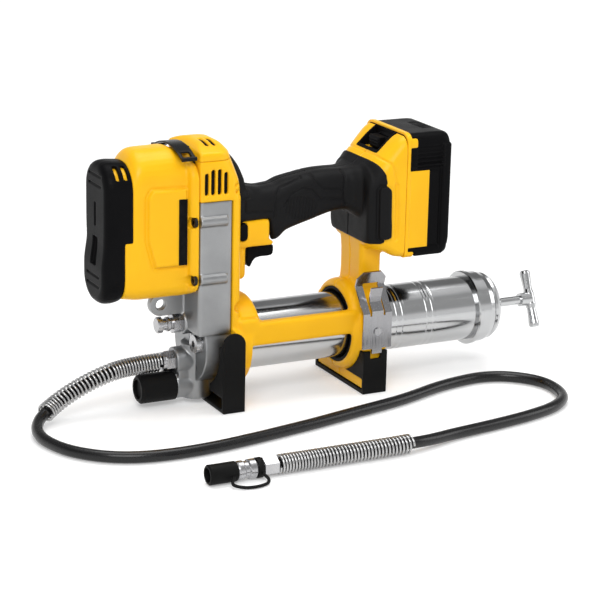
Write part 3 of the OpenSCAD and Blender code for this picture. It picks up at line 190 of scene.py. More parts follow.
groupSet = {"grainScale": 1800.0, "broadScale": 60.0, "driftScale": 18.0, "driftBand": (0.35, 0.65),
            "rubStart": 0.53, "rubEnd": 0.6, "rubAmount": 0.5, "breakScale": 240.0, "breakBand": (0.4, 0.7),
            "streakScale": 900.0, "streaks": {"streakX": (0.02, 1, 1), "streakZ": (1, 1, 0.03)},
            "glossBand": (0.3, 0.7), "bumpDistance": 0.0004}


def buildGroups(s):
    floatS, colourS = "NodeSocketFloat", "NodeSocketColor"
    # moulded grain: height for bump and a mask for gloss
    g, gin, gout = newGroup("mouldGrain", [("Scale", floatS, s["grainScale"])],
                            [("Height", floatS), ("Mask", floatS)])
    fine = noiseNode(g, gin.outputs["Scale"], detail=2.0)
    broad = noiseNode(g, s["broadScale"], detail=3.0)
    g.links.new(fine, gout.inputs["Height"])
    halves = [mathNode(g, "MULTIPLY", n, 0.5) for n in (fine, broad)]
    g.links.new(mathNode(g, "ADD", *halves), gout.inputs["Mask"])
    # slow drift of a colour between two neighbours
    g, gin, gout = newGroup("colourDrift", [("Light", colourS, (1, 1, 1, 1)), ("Dark", colourS, (0, 0, 0, 1)),
                                            ("Scale", floatS, s["driftScale"])], [("Colour", colourS)])
    slow = rangeNode(g, noiseNode(g, gin.outputs["Scale"], detail=4.0), *s["driftBand"], 0.0, 1.0)
    g.links.new(mixNode(g, slow, gin.outputs["Dark"], gin.outputs["Light"]), gout.inputs["Colour"])
    # rubbed edges, broken up by noise
    g, gin, gout = newGroup("edgeRub", [("Start", floatS, s["rubStart"]), ("End", floatS, s["rubEnd"]),
                                        ("Amount", floatS, s["rubAmount"])], [("Mask", floatS)])
    point = g.nodes.new("ShaderNodeNewGeometry").outputs["Pointiness"]
    edge = rangeNode(g, point, gin.outputs["Start"], gin.outputs["End"], 0.0, 1.0)
    broken = rangeNode(g, noiseNode(g, s["breakScale"], detail=4.0), *s["breakBand"], 0.0, 1.0)
    rubbed = mathNode(g, "MULTIPLY", edge, broken)
    g.links.new(mathNode(g, "MULTIPLY", rubbed, gin.outputs["Amount"], True), gout.inputs["Mask"])
    # drawn or turned streaks along one axis
    for name, stretch in s["streaks"].items():
        g, gin, gout = newGroup(name, [("Scale", floatS, s["streakScale"])], [("Value", floatS)])
        streak = noiseNode(g, gin.outputs["Scale"], detail=3.0, stretch=stretch)
        g.links.new(streak, gout.inputs["Value"])


def makeMaterial(name, light, dark, gloss, grain, bump, metallic=0.0, drift=18.0, rub=None, rubColour=None,
                 streak=None, specular=0.5):
    m = bpy.data.materials.new(name)
    m.use_nodes = True
    t = m.node_tree
    shader = t.nodes["Principled BSDF"]
    shader.inputs["Metallic"].default_value = metallic
    shader.inputs["Specular IOR Level"].default_value = specular

    def group(kind):
        n = t.nodes.new("ShaderNodeGroup")
        n.node_tree = bpy.data.node_groups[kind]
        return n

    colour = group("colourDrift")
    colour.inputs["Light"].default_value = (*light, 1)
    colour.inputs["Dark"].default_value = (*dark, 1)
    colour.inputs["Scale"].default_value = drift
    tone = colour.outputs["Colour"]
    grainNode = group("mouldGrain")
    grainNode.inputs["Scale"].default_value = grain
    mask = group(streak).outputs["Value"] if streak else grainNode.outputs["Mask"]
    if rub:
        worn = group("edgeRub")
        worn.inputs["Amount"].default_value = rub
        tone = mixNode(t, worn.outputs["Mask"], tone, (*rubColour, 1))
    t.links.new(tone, shader.inputs["Base Color"])
    t.links.new(rangeNode(t, mask, *groupSet["glossBand"], *gloss), shader.inputs["Roughness"])
    if bump:
        b = t.nodes.new("ShaderNodeBump")
        b.inputs["Strength"].default_value = bump
        b.inputs["Distance"].default_value = groupSet["bumpDistance"]
        t.links.new(grainNode.outputs["Height"], b.inputs["Height"])
        t.links.new(b.outputs["Normal"], shader.inputs["Normal"])
    return m


finishSet = {
    "yellowShell": dict(light=(0.93, 0.50, 0.006), dark=(0.88, 0.455, 0.005), gloss=(0.3, 0.4), grain=2200,
                        bump=0.06, rub=0.25, rubColour=(0.95, 0.6, 0.08), specular=0.22),
    "blackShell": dict(light=(0.0055, 0.0055, 0.006), dark=(0.004, 0.004, 0.0045), gloss=(0.3, 0.42),
                       grain=2600, bump=0.12, rub=0.2, rubColour=(0.03, 0.03, 0.03), specular=0.03),
    "softGrip": dict(light=(0.0065, 0.0065, 0.007), dark=(0.005, 0.005, 0.0055), gloss=(0.42, 0.6),
                     grain=3400, bump=0.25, specular=0.1),
    "rubber": dict(light=(0.0055, 0.0055, 0.0055), dark=(0.004, 0.004, 0.004), gloss=(0.42, 0.6),
                   grain=1500, bump=0.12, specular=0.1),
    "hoseRubber": dict(light=(0.006, 0.006, 0.0065), dark=(0.0045, 0.0045, 0.005), gloss=(0.22, 0.32),
                       grain=1200, bump=0.03, specular=0.35),
    "castAlloy": dict(light=(0.34, 0.345, 0.35), dark=(0.27, 0.275, 0.28), metallic=1.0, gloss=(0.34, 0.5),
                      grain=1300, bump=0.16, drift=30, rub=0.35, rubColour=(0.5, 0.5, 0.5)),
    "brightPlate": dict(light=(0.52, 0.525, 0.53), dark=(0.46, 0.465, 0.47), metallic=1.0, gloss=(0.12, 0.2),
                        grain=500, bump=0.0, streak="streakX"),
    "wireSteel": dict(light=(0.48, 0.48, 0.48), dark=(0.38, 0.38, 0.38), metallic=1.0, gloss=(0.2, 0.34),
                      grain=900, bump=0.0),
    "turnedSteel": dict(light=(0.46, 0.46, 0.47), dark=(0.37, 0.37, 0.38), metallic=1.0, gloss=(0.2, 0.34),
                        grain=900, bump=0.02, streak="streakZ"),
    "sheetSteel": dict(light=(0.36, 0.36, 0.37), dark=(0.29, 0.29, 0.3), metallic=1.0, gloss=(0.14, 0.28),
                       grain=900, bump=0.0, streak="streakZ"),
    "blackCoat": dict(light=(0.006, 0.006, 0.006), dark=(0.0045, 0.0045, 0.0045), gloss=(0.26, 0.38),
                      grain=1600, bump=0.08, rub=0.3, rubColour=(0.08, 0.08, 0.08), specular=0.16),
}
buildGroups(groupSet)
finish = {name: makeMaterial(name, **look) for name, look in finishSet.items()}
print("finishes ready:", len(finish))


def dress(obj, name):
    obj.data.materials.clear()
    obj.data.materials.append(finish[name])


# floor, lamps and background
studioSet = {"floorSide": 8.0, "floorDrop": 0.0003, "floorTone": 0.8, "floorRough": 0.9,
             "floorGlow": (0.28, 0.62), "floorReach": (0.9, 2.4), "skyTone": 0.5, "ceilingTone": 0.25,
             "sweepBand": (0.22, 0.38), "overheadTone": 0.95, "overheadBand": (0.74, 0.86),
             "frontTone": 0.5, "frontBand": (0.0, 0.25)}
# place and size in metres, power in watts
lampTarget = (0, 0, 0.1)
lampSet = {"keyLamp": ((-0.9, -1.5, 1.5), (1.2, 1.0), 24), "topLamp": ((0.1, 0.2, 1.9), (1.6, 1.2), 20),
           "sideLamp": ((1.6, -0.7, 0.9), (0.8, 1.0), 7)}


def largest(tree, *values):
    top = values[0]
    for v in values[1:]:
        top = mathNode(tree, "MAXIMUM", top, v)
    return top


def buildFloor(s):
    deselect()
    bpy.ops.mesh.primitive_plane_add(size=s["floorSide"], location=(0, 0, -s["floorDrop"]))
    floor = bpy.context.object
    floor.name = "studioFloor"
    settle(floor)
    m = bpy.data.materials.new("paleFloor")
    m.use_nodes = True
    t = m.node_tree
    shader = t.nodes["Principled BSDF"]
    shader.inputs["Base Color"].default_value = (s["floorTone"],) * 3 + (1,)
    shader.inputs["Roughness"].default_value = s["floorRough"]
    shader.inputs["Specular IOR Level"].default_value = 0.0
    ray = t.nodes.new("ShaderNodeLightPath").outputs
    seen = largest(t, ray["Is Camera Ray"], ray["Is Glossy Ray"], ray["Is Transmission Ray"])
    shader.inputs["Emission Color"].default_value = (1, 1, 1, 1)
    reach = t.nodes.new("ShaderNodeVectorMath")
    reach.operation = "LENGTH"
    t.links.new(t.nodes.new("ShaderNodeTexCoord").outputs["Object"], reach.inputs[0])
    glow = rangeNode(t, reach.outputs["Value"], *s["floorReach"], *s["floorGlow"])
    t.links.new(mathNode(t, "MULTIPLY", seen, glow), shader.inputs["Emission Strength"])
    floor.data.materials.append(m)


def buildWorld(s):
    world = bpy.data.worlds.new("studioWorld")
    bpy.context.scene.world = world
    world.use_nodes = True
    w = world.node_tree
    sky = w.nodes["Background"]
    sky.inputs["Color"].default_value = (1, 1, 1, 1)
    ray = w.nodes.new("ShaderNodeLightPath").outputs
    mirrored = largest(w, ray["Is Glossy Ray"], ray["Is Transmission Ray"])
    # polished metal shows the white sweep near the horizon and in front, and a grey ceiling behind
    split = w.nodes.new("ShaderNodeSeparateXYZ")
    w.links.new(w.nodes.new("ShaderNodeTexCoord").outputs["Generated"], split.inputs[0])
    sweep = rangeNode(w, split.outputs["Z"], *s["sweepBand"], 1.0, s["ceilingTone"])
    overhead = rangeNode(w, split.outputs["Z"], *s["overheadBand"], 0.0, s["overheadTone"])
    towardsFront = mathNode(w, "MULTIPLY", split.outputs["Y"], -1.0)
    front = rangeNode(w, towardsFront, *s["frontBand"], 0.0, s["frontTone"])
    room = largest(w, sweep, overhead, front)
    shown = rangeNode(w, mirrored, 0.0, 1.0, s["skyTone"], room)
    w.links.new(largest(w, ray["Is Camera Ray"], shown), sky.inputs["Strength"])


def addLamp(name, place, size, power):
    lamp = bpy.data.lights.new(name, "AREA")
    lamp.shape = "RECTANGLE"
    lamp.size, lamp.size_y = size
    lamp.energy = power
    obj = linked(name, lamp)
    obj.location = place
    obj.rotation_euler = (Vector(lampTarget) - Vector(place)).to_track_quat("-Z", "Y").to_euler()


buildFloor(studioSet)
buildWorld(studioSet)
for name, values in lampSet.items():
    addLamp(name, *values)
print("studio ready")


# lofted and cut shells
def quarter(q, r, n):
    turns = [math.radians(90 * (q + i / n)) for i in range(n + 1)]
    return [(r * math.cos(a), r * math.sin(a)) for a in turns]


def ringX(x, half, low, high, topR, lowR, n=8):
    # rounded rectangle across X, the same on both sides of the tool
    pts = []
    for q in range(4):
        r = topR if q < 2 else lowR
        y = half - r if q in (0, 3) else r - half
        z = high - r if q < 2 else low + r
        pts += [(x, y + dy, z + dz) for dy, dz in quarter(q, r, n)]
    return pts


def ringZ(z, front, back, half, frontR, backR, n=8):
    # rounded rectangle lying flat, the same on both sides of the tool
    pts = []
    for q in range(4):
        r = backR if q in (0, 3) else frontR
        x = back - r if q in (0, 3) else front + r
        y = half - r if q < 2 else r - half
        pts += [(x + dx, y + dy, z) for dx, dy in quarter(q, r, n)]
    return pts


def ringRound(x, r, z, y=0.0, n=48):
    turns = [2 * math.pi * i / n for i in range(n)]
    return [(x, y + r * math.cos(a), z + r * math.sin(a)) for a in turns]


def between(a, b, c, d, u):
    # smooth way from b to c, with their neighbours a and d
    bend = (2 * a - 5 * b + 4 * c - d) * u ** 2 + (3 * b - a - 3 * c + d) * u ** 3
    return 0.5 * (2 * b + (c - a) * u + bend)


def denser(rows, steps):
    # more stations on a smooth line through the given ones
    out = []
    last = len(rows) - 1
    for k in range(last):
        near = rows[max(k - 1, 0)], rows[k], rows[k + 1], rows[min(k + 2, last)]
        for i in range(steps):
            out.append(tuple(between(*four, i / steps) for four in zip(*near)))
    return out + [rows[last]]


def corner(v):
    # place of a vertex, rounded so that equal places match
    return tuple(round(c, 7) for c in v.co)


def loftPiece(name, rings):
    # a filled circle, set to the first ring and extruded from ring to ring
    deselect()
    bpy.ops.mesh.primitive_circle_add(vertices=len(rings[0]), radius=1, fill_type="NGON")
    obj = bpy.context.object
    obj.name = name
    bpy.ops.object.mode_set(mode="EDIT")
    bm = bmesh.from_edit_mesh(obj.data)
    bm.verts.ensure_lookup_table()
    loop = list(bm.verts)
    for v, p in zip(loop, rings[0]):
        v.co = at(*p)
    for ring in rings[1:]:
        bpy.ops.mesh.select_mode(type="FACE")
        bpy.ops.mesh.extrude_region_move()
        bm = bmesh.from_edit_mesh(obj.data)
        fresh = [v for v in bm.verts if v.select]
        number = {corner(v): i for i, v in enumerate(loop)}
        order = [None] * len(loop)
        for v in fresh:
            order[number[corner(v)]] = v
        loop = order
        for v, p in zip(loop, ring):
            v.co = at(*p)
    bmesh.update_edit_mesh(obj.data)
    bpy.ops.mesh.select_all(action="SELECT")
    bpy.ops.mesh.normals_make_consistent(inside=False)
    bpy.ops.object.mode_set(mode="OBJECT")
    return obj


def turnedPiece(name, profile, z, y=0.0, n=64):
    return loftPiece(name, [ringRound(x, r, z, y, n) for x, r in profile])


def boxPiece(name, x0, x1, y0, y1, z0, z1, edge=0.0):
    deselect()
    bpy.ops.mesh.primitive_cube_add(size=1)
    obj = bpy.context.object
    obj.name = name
    obj.scale = ((x1 - x0) / 1000, (y1 - y0) / 1000, (z1 - z0) / 1000)
    obj.location = at((x0 + x1) / 2, (y0 + y1) / 2, (z0 + z1) / 2)
    settle(obj)
    if edge:
        addModifier(obj, "BEVEL", width=edge / 1000, segments=3, limit_method="NONE")
        applyAll(obj)
    return obj


def rodPiece(name, axis, a, b, r, u, v, sides=64):
    # round bar from a to b along an axis, at the other two coordinates u and v
    deselect()
    bpy.ops.mesh.primitive_cylinder_add(vertices=sides, radius=r / 1000, depth=abs(b - a) / 1000)
    obj = bpy.context.object
    obj.name = name
    m = (a + b) / 2
    if axis == "X":
        obj.rotation_euler = (0, math.pi / 2, 0)
        obj.location = at(m, u, v)
    elif axis == "Y":
        obj.rotation_euler = (math.pi / 2, 0, 0)
        obj.location = at(u, m, v)
    else:
        obj.location = at(u, v, m)
    return settle(obj)


def prismPiece(name, outline, y0, y1):
    # flat outline of [x, z] points, drawn out across the tool
    return loftPiece(name, [[(x, y0, z) for x, z in outline], [(x, y1, z) for x, z in outline]])


def joined(name, pieces):
    deselect()
    for p in pieces:
        p.select_set(True)
    bpy.context.view_layer.objects.active = pieces[0]
    bpy.ops.object.join()
    obj = bpy.context.object
    obj.name = name
    return obj


def carve(obj, tools, how="DIFFERENCE"):
    # all cutting tools at once, from a collection of their own
    group = bpy.data.collections.new("cuttingTools")
    for tool in tools:
        group.objects.link(tool)
    addModifier(obj, "BOOLEAN", operation=how, operand_type="COLLECTION", collection=group, solver="EXACT")
    applyAll(obj)
    for tool in tools:
        bpy.data.objects.remove(tool)
    bpy.data.collections.remove(group)
    return obj


def twin(obj, name):
    c = obj.copy()
    c.data = obj.data.copy()
    c.name = name
    bpy.context.collection.objects.link(c)
    return c


def cutAway(obj, point, normal):
    # removes what lies on the side the normal points to and closes the cut
    pick(obj)
    bpy.ops.object.mode_set(mode="EDIT")
    bpy.ops.mesh.select_all(action="SELECT")
    bpy.ops.mesh.bisect(plane_co=at(*point), plane_no=normal, use_fill=True, clear_outer=True)
    bpy.ops.object.mode_set(mode="OBJECT")
    return obj


def span(side, a, b):
    # reach across the tool on its far (1) or near (-1) side
    return (a, b) if side > 0 else (-b, -a)


halfSet = {"gap": 0.02, "x": 250, "y": 90, "z": (-20, 300)}


def splitHalves(body, nearName, farName):
    far = twin(body, farName)
    body.name = nearName
    for obj, side in ((body, -1), (far, 1)):
        reach = span(side, halfSet["gap"], halfSet["y"])
        carve(obj, [boxPiece("t", -halfSet["x"], halfSet["x"], *reach, *halfSet["z"])], "INTERSECT")
    return body, far


def thin(obj, keep):
    addModifier(obj, "DECIMATE", ratio=keep)
    applyAll(obj)


def mould(obj, voxel, smooth, keep=1.0):
    # fuses what overlaps and rounds every edge a little, as a moulding or casting is
    addModifier(obj, "REMESH", mode="VOXEL", voxel_size=voxel / 1000, use_smooth_shade=True)
    addModifier(obj, "SMOOTH", factor=0.5, iterations=smooth)
    applyAll(obj)
    if keep < 1:
        thin(obj, keep)
    bpy.ops.object.shade_smooth()
    return obj


def nodeCopy(name, node):
    obj = linked(name, nodes[node].data.copy())
    pick(obj)
    bpy.ops.object.mode_set(mode="EDIT")
    bpy.ops.mesh.select_all(action="SELECT")
    bpy.ops.mesh.remove_doubles(threshold=0.000002)
    bpy.ops.object.mode_set(mode="OBJECT")
    return obj


def meshArrays(obj):
    n = len(obj.data.vertices)
    co, no = np.empty(n * 3), np.empty(n * 3)
    obj.data.vertices.foreach_get("co", co)
    obj.data.vertices.foreach_get("normal", no)
    co, no = co.reshape(-1, 3), no.reshape(-1, 3)
    drawn = co * 1000 - np.array([rowShift[0], rowShift[1], 0])
    return co, no, drawn


def moveTo(obj, co):
    obj.data.vertices.foreach_set("co", co.ravel())
    obj.data.update()


def pressIn(obj, depth, facing, least, test):
    # only where the surface faces that axis enough, and where the test allows it
    co, no, drawn = meshArrays(obj)
    depth[np.abs(no[:, facing]) < least] = 0
    if test is not None:
        depth[~test(drawn)] = 0
    moveTo(obj, co - no * (depth / 1000)[:, None])


def lineDistance(pts, line):
    best = np.full(len(pts), 1e6)
    for a, b in zip(line, line[1:]):
        a, b = np.array(a, float), np.array(b, float)
        d = b - a
        f = np.clip(((pts - a) @ d) / max(d @ d, 1e-9), 0, 1)
        best = np.minimum(best, np.linalg.norm(pts - (a + f[:, None] * d), axis=1))
    return best


def pressLines(obj, lines, width, depth, facing=1, plane=(0, 2), least=0.2, test=None):
    # grooves pressed along lines of two drawing coordinates, on both sides of the tool
    pts = meshArrays(obj)[2][:, plane]
    nearest = np.min([lineDistance(pts, line) for line in lines], axis=0)
    pressIn(obj, depth * np.clip(1 - (nearest / width) ** 2, 0, 1), facing, least, test)


def pressArea(obj, outline, depth, soft, facing=1, plane=(0, 2), least=0.4, test=None):
    # sinks (or with a negative depth raises) an outlined area with a soft border
    pts = meshArrays(obj)[2][:, plane]
    inside = np.zeros(len(pts), bool)
    for (x0, z0), (x1, z1) in zip(outline, outline[1:] + outline[:1]):
        crosses = (z0 > pts[:, 1]) != (z1 > pts[:, 1])
        rise = (z1 - z0) if z1 != z0 else 1e-9
        inside ^= crosses & (pts[:, 0] < (x1 - x0) * (pts[:, 1] - z0) / rise + x0)
    edge = lineDistance(pts, outline + outline[:1])
    f = np.clip(np.where(inside, 0.5 + edge / soft / 2, 0.5 - edge / soft / 2), 0, 1)
    pressIn(obj, depth * f * f * (3 - 2 * f), facing, least, test)


def place(obj, look, slotName, body, *replaced):
    dress(obj, look)
    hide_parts(*replaced)
    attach(obj, body)
    print("made", obj.name, len(obj.data.polygons), "faces")


# hose, laid along the photographed route, in drawing millimetres
hoseSet = {"radius": 4.8, "sides": 5, "steps": 8, "exit": (-130, 0, 37.5)}
hoseRoute = [hoseSet["exit"], (-150, 0, 37), (-172, -1, 35), (-195, -3, 29), (-216, -6, 21), (-234, -12, 13),
             (-247, -24, 8.5), (-254, -42, 6), (-253, -64, 5), (-242, -92, 5), (-218, -115, 5),
             (-184, -126, 5), (-132, -125, 5), (-53, -110, 5), (0, -97, 5), (55, -83, 5), (100, -66, 5),
             (128, -59, 5), (152, -57, 5), (173, -64, 5), (190, -82, 5), (195, -104, 5), (188, -130, 5),
             (168, -148, 5), (138, -159, 5), (100, -167, 5), (55, -175, 5.5), (28, -183, 7),
             (8, -187, 8.2), (-20, -188, 8.2), (-60, -188, 8.2), (-113, -188, 8.2)]


def smoothLine(pts, steps):
    return [Vector(p) for p in denser(pts, steps)]


class Run:
    # a line that can be asked for the place at a length along it
    def __init__(self, pts):
        self.pts = pts
        self.sums = [0.0]
        for a, b in zip(pts, pts[1:]):
            self.sums.append(self.sums[-1] + (b - a).length)
        self.length = self.sums[-1]

    def place(self, s):
        s = min(max(s, 0.0), self.length)
        k = 0
        while k < len(self.sums) - 2 and self.sums[k + 1] < s:
            k += 1
        f = (s - self.sums[k]) / (self.sums[k + 1] - self.sums[k])
        return self.pts[k].lerp(self.pts[k + 1], f)


hoseRun = Run(smoothLine(hoseRoute, hoseSet["steps"]))


def curvePiece(name, line, radius, sides):
    c = bpy.data.curves.new(name, "CURVE")
    c.dimensions = "3D"
    c.bevel_depth = radius / 1000
    c.bevel_resolution = sides
    c.use_fill_caps = True
    s = c.splines.new("POLY")
    s.points.add(len(line) - 1)
    for point, p in zip(s.points, line):
        point.co = (*at(*p), 1)
    s.use_smooth = True
    return linked(name, c)


def asMesh(obj):
    pick(obj)
    bpy.ops.object.convert(target="MESH")
    return bpy.context.object


guardSet = {"meanRadius": 7.0, "wireRadius": 1.0, "rings": 20, "sides": 3, "lead": 1.3,
            "closePitch": 2.65, "bendPitch": 3.15, "pumpLength": 116, "pumpTurns": (16, 15, 5),
            "couplerLength": 120, "couplerTurns": (10, 16, 14)}


def windGuard(name, start, length, turns, pitches):
    # wound in three stretches, of which the first and last have a pitch of their own
    n0, n1, n2 = turns
    run = length - 2 * guardSet["lead"]
    marks = [(0, 0), (n0, n0 * pitches[0]), (n0 + n1, run - n2 * pitches[1]), (n0 + n1 + n2, run)]
    line = []
    total = (n0 + n1 + n2) * guardSet["rings"]
    for i in range(total + 1):
        turn = i / guardSet["rings"]
        for (t0, s0), (t1, s1) in zip(marks, marks[1:]):
            if turn <= t1:
                s = s0 + (s1 - s0) * (turn - t0) / (t1 - t0)
                break
        s += start + guardSet["lead"]
        p = hoseRun.place(s)
        t = (hoseRun.place(s + 1) - hoseRun.place(s - 1)).normalized()
        u = Vector((0, 0, 1)).cross(t).normalized()
        v = t.cross(u)
        a = 2 * math.pi * turn
        line.append(p + guardSet["meanRadius"] * (math.cos(a) * u + math.sin(a) * v))
    return asMesh(curvePiece(name, line, guardSet["wireRadius"], guardSet["sides"]))


hose = curvePiece("greaseHose", hoseRun.pts, hoseSet["radius"], hoseSet["sides"])
dress(hose, "hoseRubber")
closePitch, bendPitch = guardSet["closePitch"], guardSet["bendPitch"]
pumpGuard = windGuard("pumpWireGuard", 0, guardSet["pumpLength"], guardSet["pumpTurns"],
                      (closePitch, bendPitch))
couplerLength = guardSet["couplerLength"]
couplerGuard = windGuard("couplerWireGuard", hoseRun.length - couplerLength, couplerLength,
                         guardSet["couplerTurns"], (bendPitch, closePitch))
for guard, node in ((pumpGuard, "pump_guard"), (couplerGuard, "coupler_guard")):
    place(guard, "wireSteel", "chromed_steel", "tool", node)
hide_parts("hose")
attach(hose, "tool")
print("hose length", round(hoseRun.length), "mm")

# motor shell, with a core that shows yellow through the cap's vents
shellSet = {"voxel": 0.75, "soften": 5, "edge": 2, "keep": 0.45, "radii": (23, 13), "flangeRadii": (15, 10),
            "coreRadii": (19, 5),
            "capRoom": ((-190, -165.2, -40, 40, 150, 240), (-190, -172.2, -40, 40, 80, 240)),
            "screwX": (-130, -112), "screwY": 31.5, "screwZ": (115, 164), "screwSeat": 4.6, "padRise": 2.9,
            "padEdge": 1.4, "padDepth": 29, "padGroove": (1.3, 0.8), "grooveDepth": 28.4, "grooveOut": 1.2,
            "padMiddle": (-125, 160)}
shellRows = [(-173, 26, 101, 210), (-166, 26.5, 100, 213), (-161, 27, 99.3, 219.5), (-155, 27, 99, 222.5),
             (-140, 27, 99, 223), (-128, 27, 99, 223), (-121, 27.6, 99, 220), (-110.2, 29, 100, 218)]
flangeRows = [(-118.2, 30, 105.2, 210.4), (-117.2, 32.4, 103.8, 211.7), (-115.6, 33.7, 103.2, 212.3),
              (-114, 34, 103, 212.5), (-110.2, 34, 103, 212.5)]
coreRows = [(-181, 22.4, 150, 210.8), (-172, 23, 150, 211.2), (-160, 23, 150, 211)]
padOutline = [(-153, 186), (-149, 192.5), (-118, 192), (-118, 128), (-146, 128), (-149, 137), (-153, 151.5)]


def shellLoft(name, rows, radii):
    return loftPiece(name, [ringX(*row, *radii) for row in rows])


def padRim(outline, out):
    # the pad's outline moved outwards, open at the flange
    x0, z0 = shellSet["padMiddle"]
    rim = [(x - out if x < x0 else x, z + out if z > z0 else z - out) for x, z in outline]
    return rim[3:] + rim[:3]


def makeMotorShell(s):
    body = shellLoft("motorShell", denser(shellRows, 4), s["radii"])
    flange = shellLoft("shellFlange", flangeRows, s["flangeRadii"])
    obj = mould(joined("motorShell", [body, flange]), s["voxel"], s["soften"])
    tools = [boxPiece("t", *room) for room in s["capRoom"]]
    for side in (-1, 1):
        for z in s["screwZ"]:
            tools.append(rodPiece("t", "X", *s["screwX"], s["screwSeat"], side * s["screwY"], z, sides=32))
    carve(obj, tools)
    core = shellLoft("shellCore", coreRows, s["coreRadii"])
    obj = mould(joined("motorShell", [obj, core]), s["voxel"], s["edge"])
    pressArea(obj, padOutline, -s["padRise"], s["padEdge"], least=0.6,
              test=lambda d: np.abs(d[:, 1]) < s["padDepth"])
    pressLines(obj, [padRim(padOutline, s["grooveOut"])], *s["padGroove"],
               test=lambda d: np.abs(d[:, 1]) < s["grooveDepth"])
    thin(obj, s["keep"])
    place(obj, "yellowShell", "yellow_plastic", "tool", "motor_housing")


# black nose cap, fuller below, with the bare strip on the shell's pad, and black blocks behind the frame's
# vents and under the cover's slots as painted shade inside them
noseSet = {"voxel": 0.7, "edge": 3, "keep": 0.5, "topInset": 3.5, "lowInset": 3, "waist": 150, "waistSoft": 9,
           "swell": 2.2, "swellFrom": -174, "swellReach": 10, "swellSoft": 24, "pinch": 0.9,
           "step": (-172, -150, -40, 40, 80, 150, 2.0), "hollow": (-195, -185, -6, 6, 129, 152, 1.0),
           "slit": (-195, -186.5, -1.6, 1.6, 161, 181, 1.0), "lines": (-195, -186.8, -14, 14),
           "lineZ": (111, 119, 194.5, 202.5), "lineHigh": 2.2, "lineEdge": 0.8,
           "ventX": (-177, -170), "ventAt": (18.5, 206.5), "ventHalf": (1.9, 7, 7), "ventEdge": 1.2,
           "ventTurn": 45,
           "strip": (-126.8, -119.4, 27.0, 30.7, 128.6, 184), "stripEdge": 0.4,
           # a black block behind the frame's vents: painted shade inside them
           "ventShadeBlock": (-105.6, -84.6, -31.4, 31.4, 182, 208.4, 0.6), "coverShadeX": (-101, -90)}
# outline of a black block under the cover's slots: painted shade seen through them
coverShadeOutline = [(-22.4, 223.3), (-15.7, 225), (-8.7, 226), (-2.6, 226.1), (-2.6, 215), (-22.4, 215)]
noseRows = [(-188, 19, 102.5, 207.5), (-187.3, 21.6, 99.7, 210.2), (-185.4, 24.2, 97.3, 212.7),
            (-182, 25.7, 95.9, 214.2), (-177.5, 26.1, 95.8, 214.6), (-172, 26.1, 97.5, 214.2),
            (-165, 26.5, 101, 213.5)]


def swellNose(obj, s):
    co, no, drawn = meshArrays(obj)
    front = np.clip((s["swellFrom"] - drawn[:, 0]) / s["swellReach"], 0, 1)
    low = np.clip((s["waist"] - drawn[:, 2]) / s["swellSoft"], 0, 1)
    waist = np.exp(-((drawn[:, 2] - s["waist"]) / s["waistSoft"]) ** 2)
    co[:, 0] -= s["swell"] / 1000 * low * low * (3 - 2 * low) * front
    co[:, 1] -= np.sign(drawn[:, 1]) * s["pinch"] / 1000 * waist * front
    moveTo(obj, co)


def noseVents(s):
    # slots across the cap's upper corners, turned to face out of them
    tools = []
    a, b, c = s["ventHalf"]
    y, z = s["ventAt"]
    for side in (-1, 1):
        for x in s["ventX"]:
            tool = boxPiece("t", -a, a, -b, b, -c, c, s["ventEdge"])
            tool.location = Vector((x, side * y, z)) / 1000
            tool.rotation_euler = (-side * math.radians(s["ventTurn"]), 0, 0)
            tools.append(settle(tool))
    return tools


def makeNoseCap(s):
    rings = [ringX(x, h, lo, hi, h - s["topInset"], h - s["lowInset"])
             for x, h, lo, hi in denser(noseRows, 4)]
    obj = loftPiece("noseCap", rings)
    tools = [boxPiece("t", *s[k]) for k in ("step", "hollow", "slit")] + noseVents(s)
    tools += [boxPiece("t", *s["lines"], z, z + s["lineHigh"], s["lineEdge"]) for z in s["lineZ"]]
    carve(obj, tools)
    mould(obj, s["voxel"], s["edge"], s["keep"])
    swellNose(obj, s)
    x0, x1, y0, y1, z0, z1 = s["strip"]
    more = [boxPiece("f", x0, x1, *span(side, y0, y1), z0, z1, s["stripEdge"]) for side in (-1, 1)]
    # black blocks behind the frame's vents and under the cover's slots: painted shade inside the slots
    more.append(boxPiece("f", *s["ventShadeBlock"]))
    more.append(loftPiece("f", [[(x, y, z) for y, z in coverShadeOutline] for x in s["coverShadeX"]]))
    place(joined("noseCap", [obj] + more), "blackShell", "black_plastic", "tool", "motor_end_cap")


makeMotorShell(shellSet)
makeNoseCap(noseSet)

# moulded frame: column, collar, handle block, bars, ring, post and battery holder
frameSet = {"voxel": 1.0, "soften": 7, "edgeVoxel": 0.9, "edge": 2, "coverEdge": 3, "keep": 0.5, "seam": 214,
            "seamGap": 0.1, "barrelZ": 52, "collarLow": (-62, -40, -50, 50, 0, 62.5), "barX": (-74, 41),
            "barY": (26, 36.5), "barLow": 52.5, "barTop": {-1: 72.8, 1: 70}, "barEdge": 2.5, "footHalf": 41.8,
            "ventX": -103.7, "ventPitch": 5.75, "ventWidth": 3.6, "ventY": (25, 50), "ventLow": 185.5,
            "ventTops": (204.2, 207, 207, 204.2), "ventEdge": 1.2, "slotX": (-98.4, -92.2), "slotHalf": 1.6,
            "slotY": (-22, -3), "slotHigh": 240, "seamLine": (1.1, 0.9), "grooveLine": (2.4, 1.6),
            "grooveFrom": 30, "holderFront": 50}
columnLow = [(58, -79.8, -71, 34, 1.5, 6), (142, -79.8, -71, 34, 1.5, 7), (182, -79.8, -71, 34, 1.5, 7)]
columnHigh = [(180, -109.8, -71, 34, 2, 9), (194, -109.8, -71.5, 34, 2, 11), (206, -109.8, -75, 34, 2, 14),
              (214, -109.8, -78.3, 34, 2, 14), (218.5, -109.8, -80.2, 33.9, 2, 13),
              (220.8, -109.4, -81.4, 33.2, 2, 12), (222.4, -108.4, -82.4, 29.5, 2, 11),
              (224.6, -106.5, -83.6, 23, 2, 9), (226.4, -104, -85.5, 16, 2, 7), (227.4, -101, -89, 10, 2, 5)]
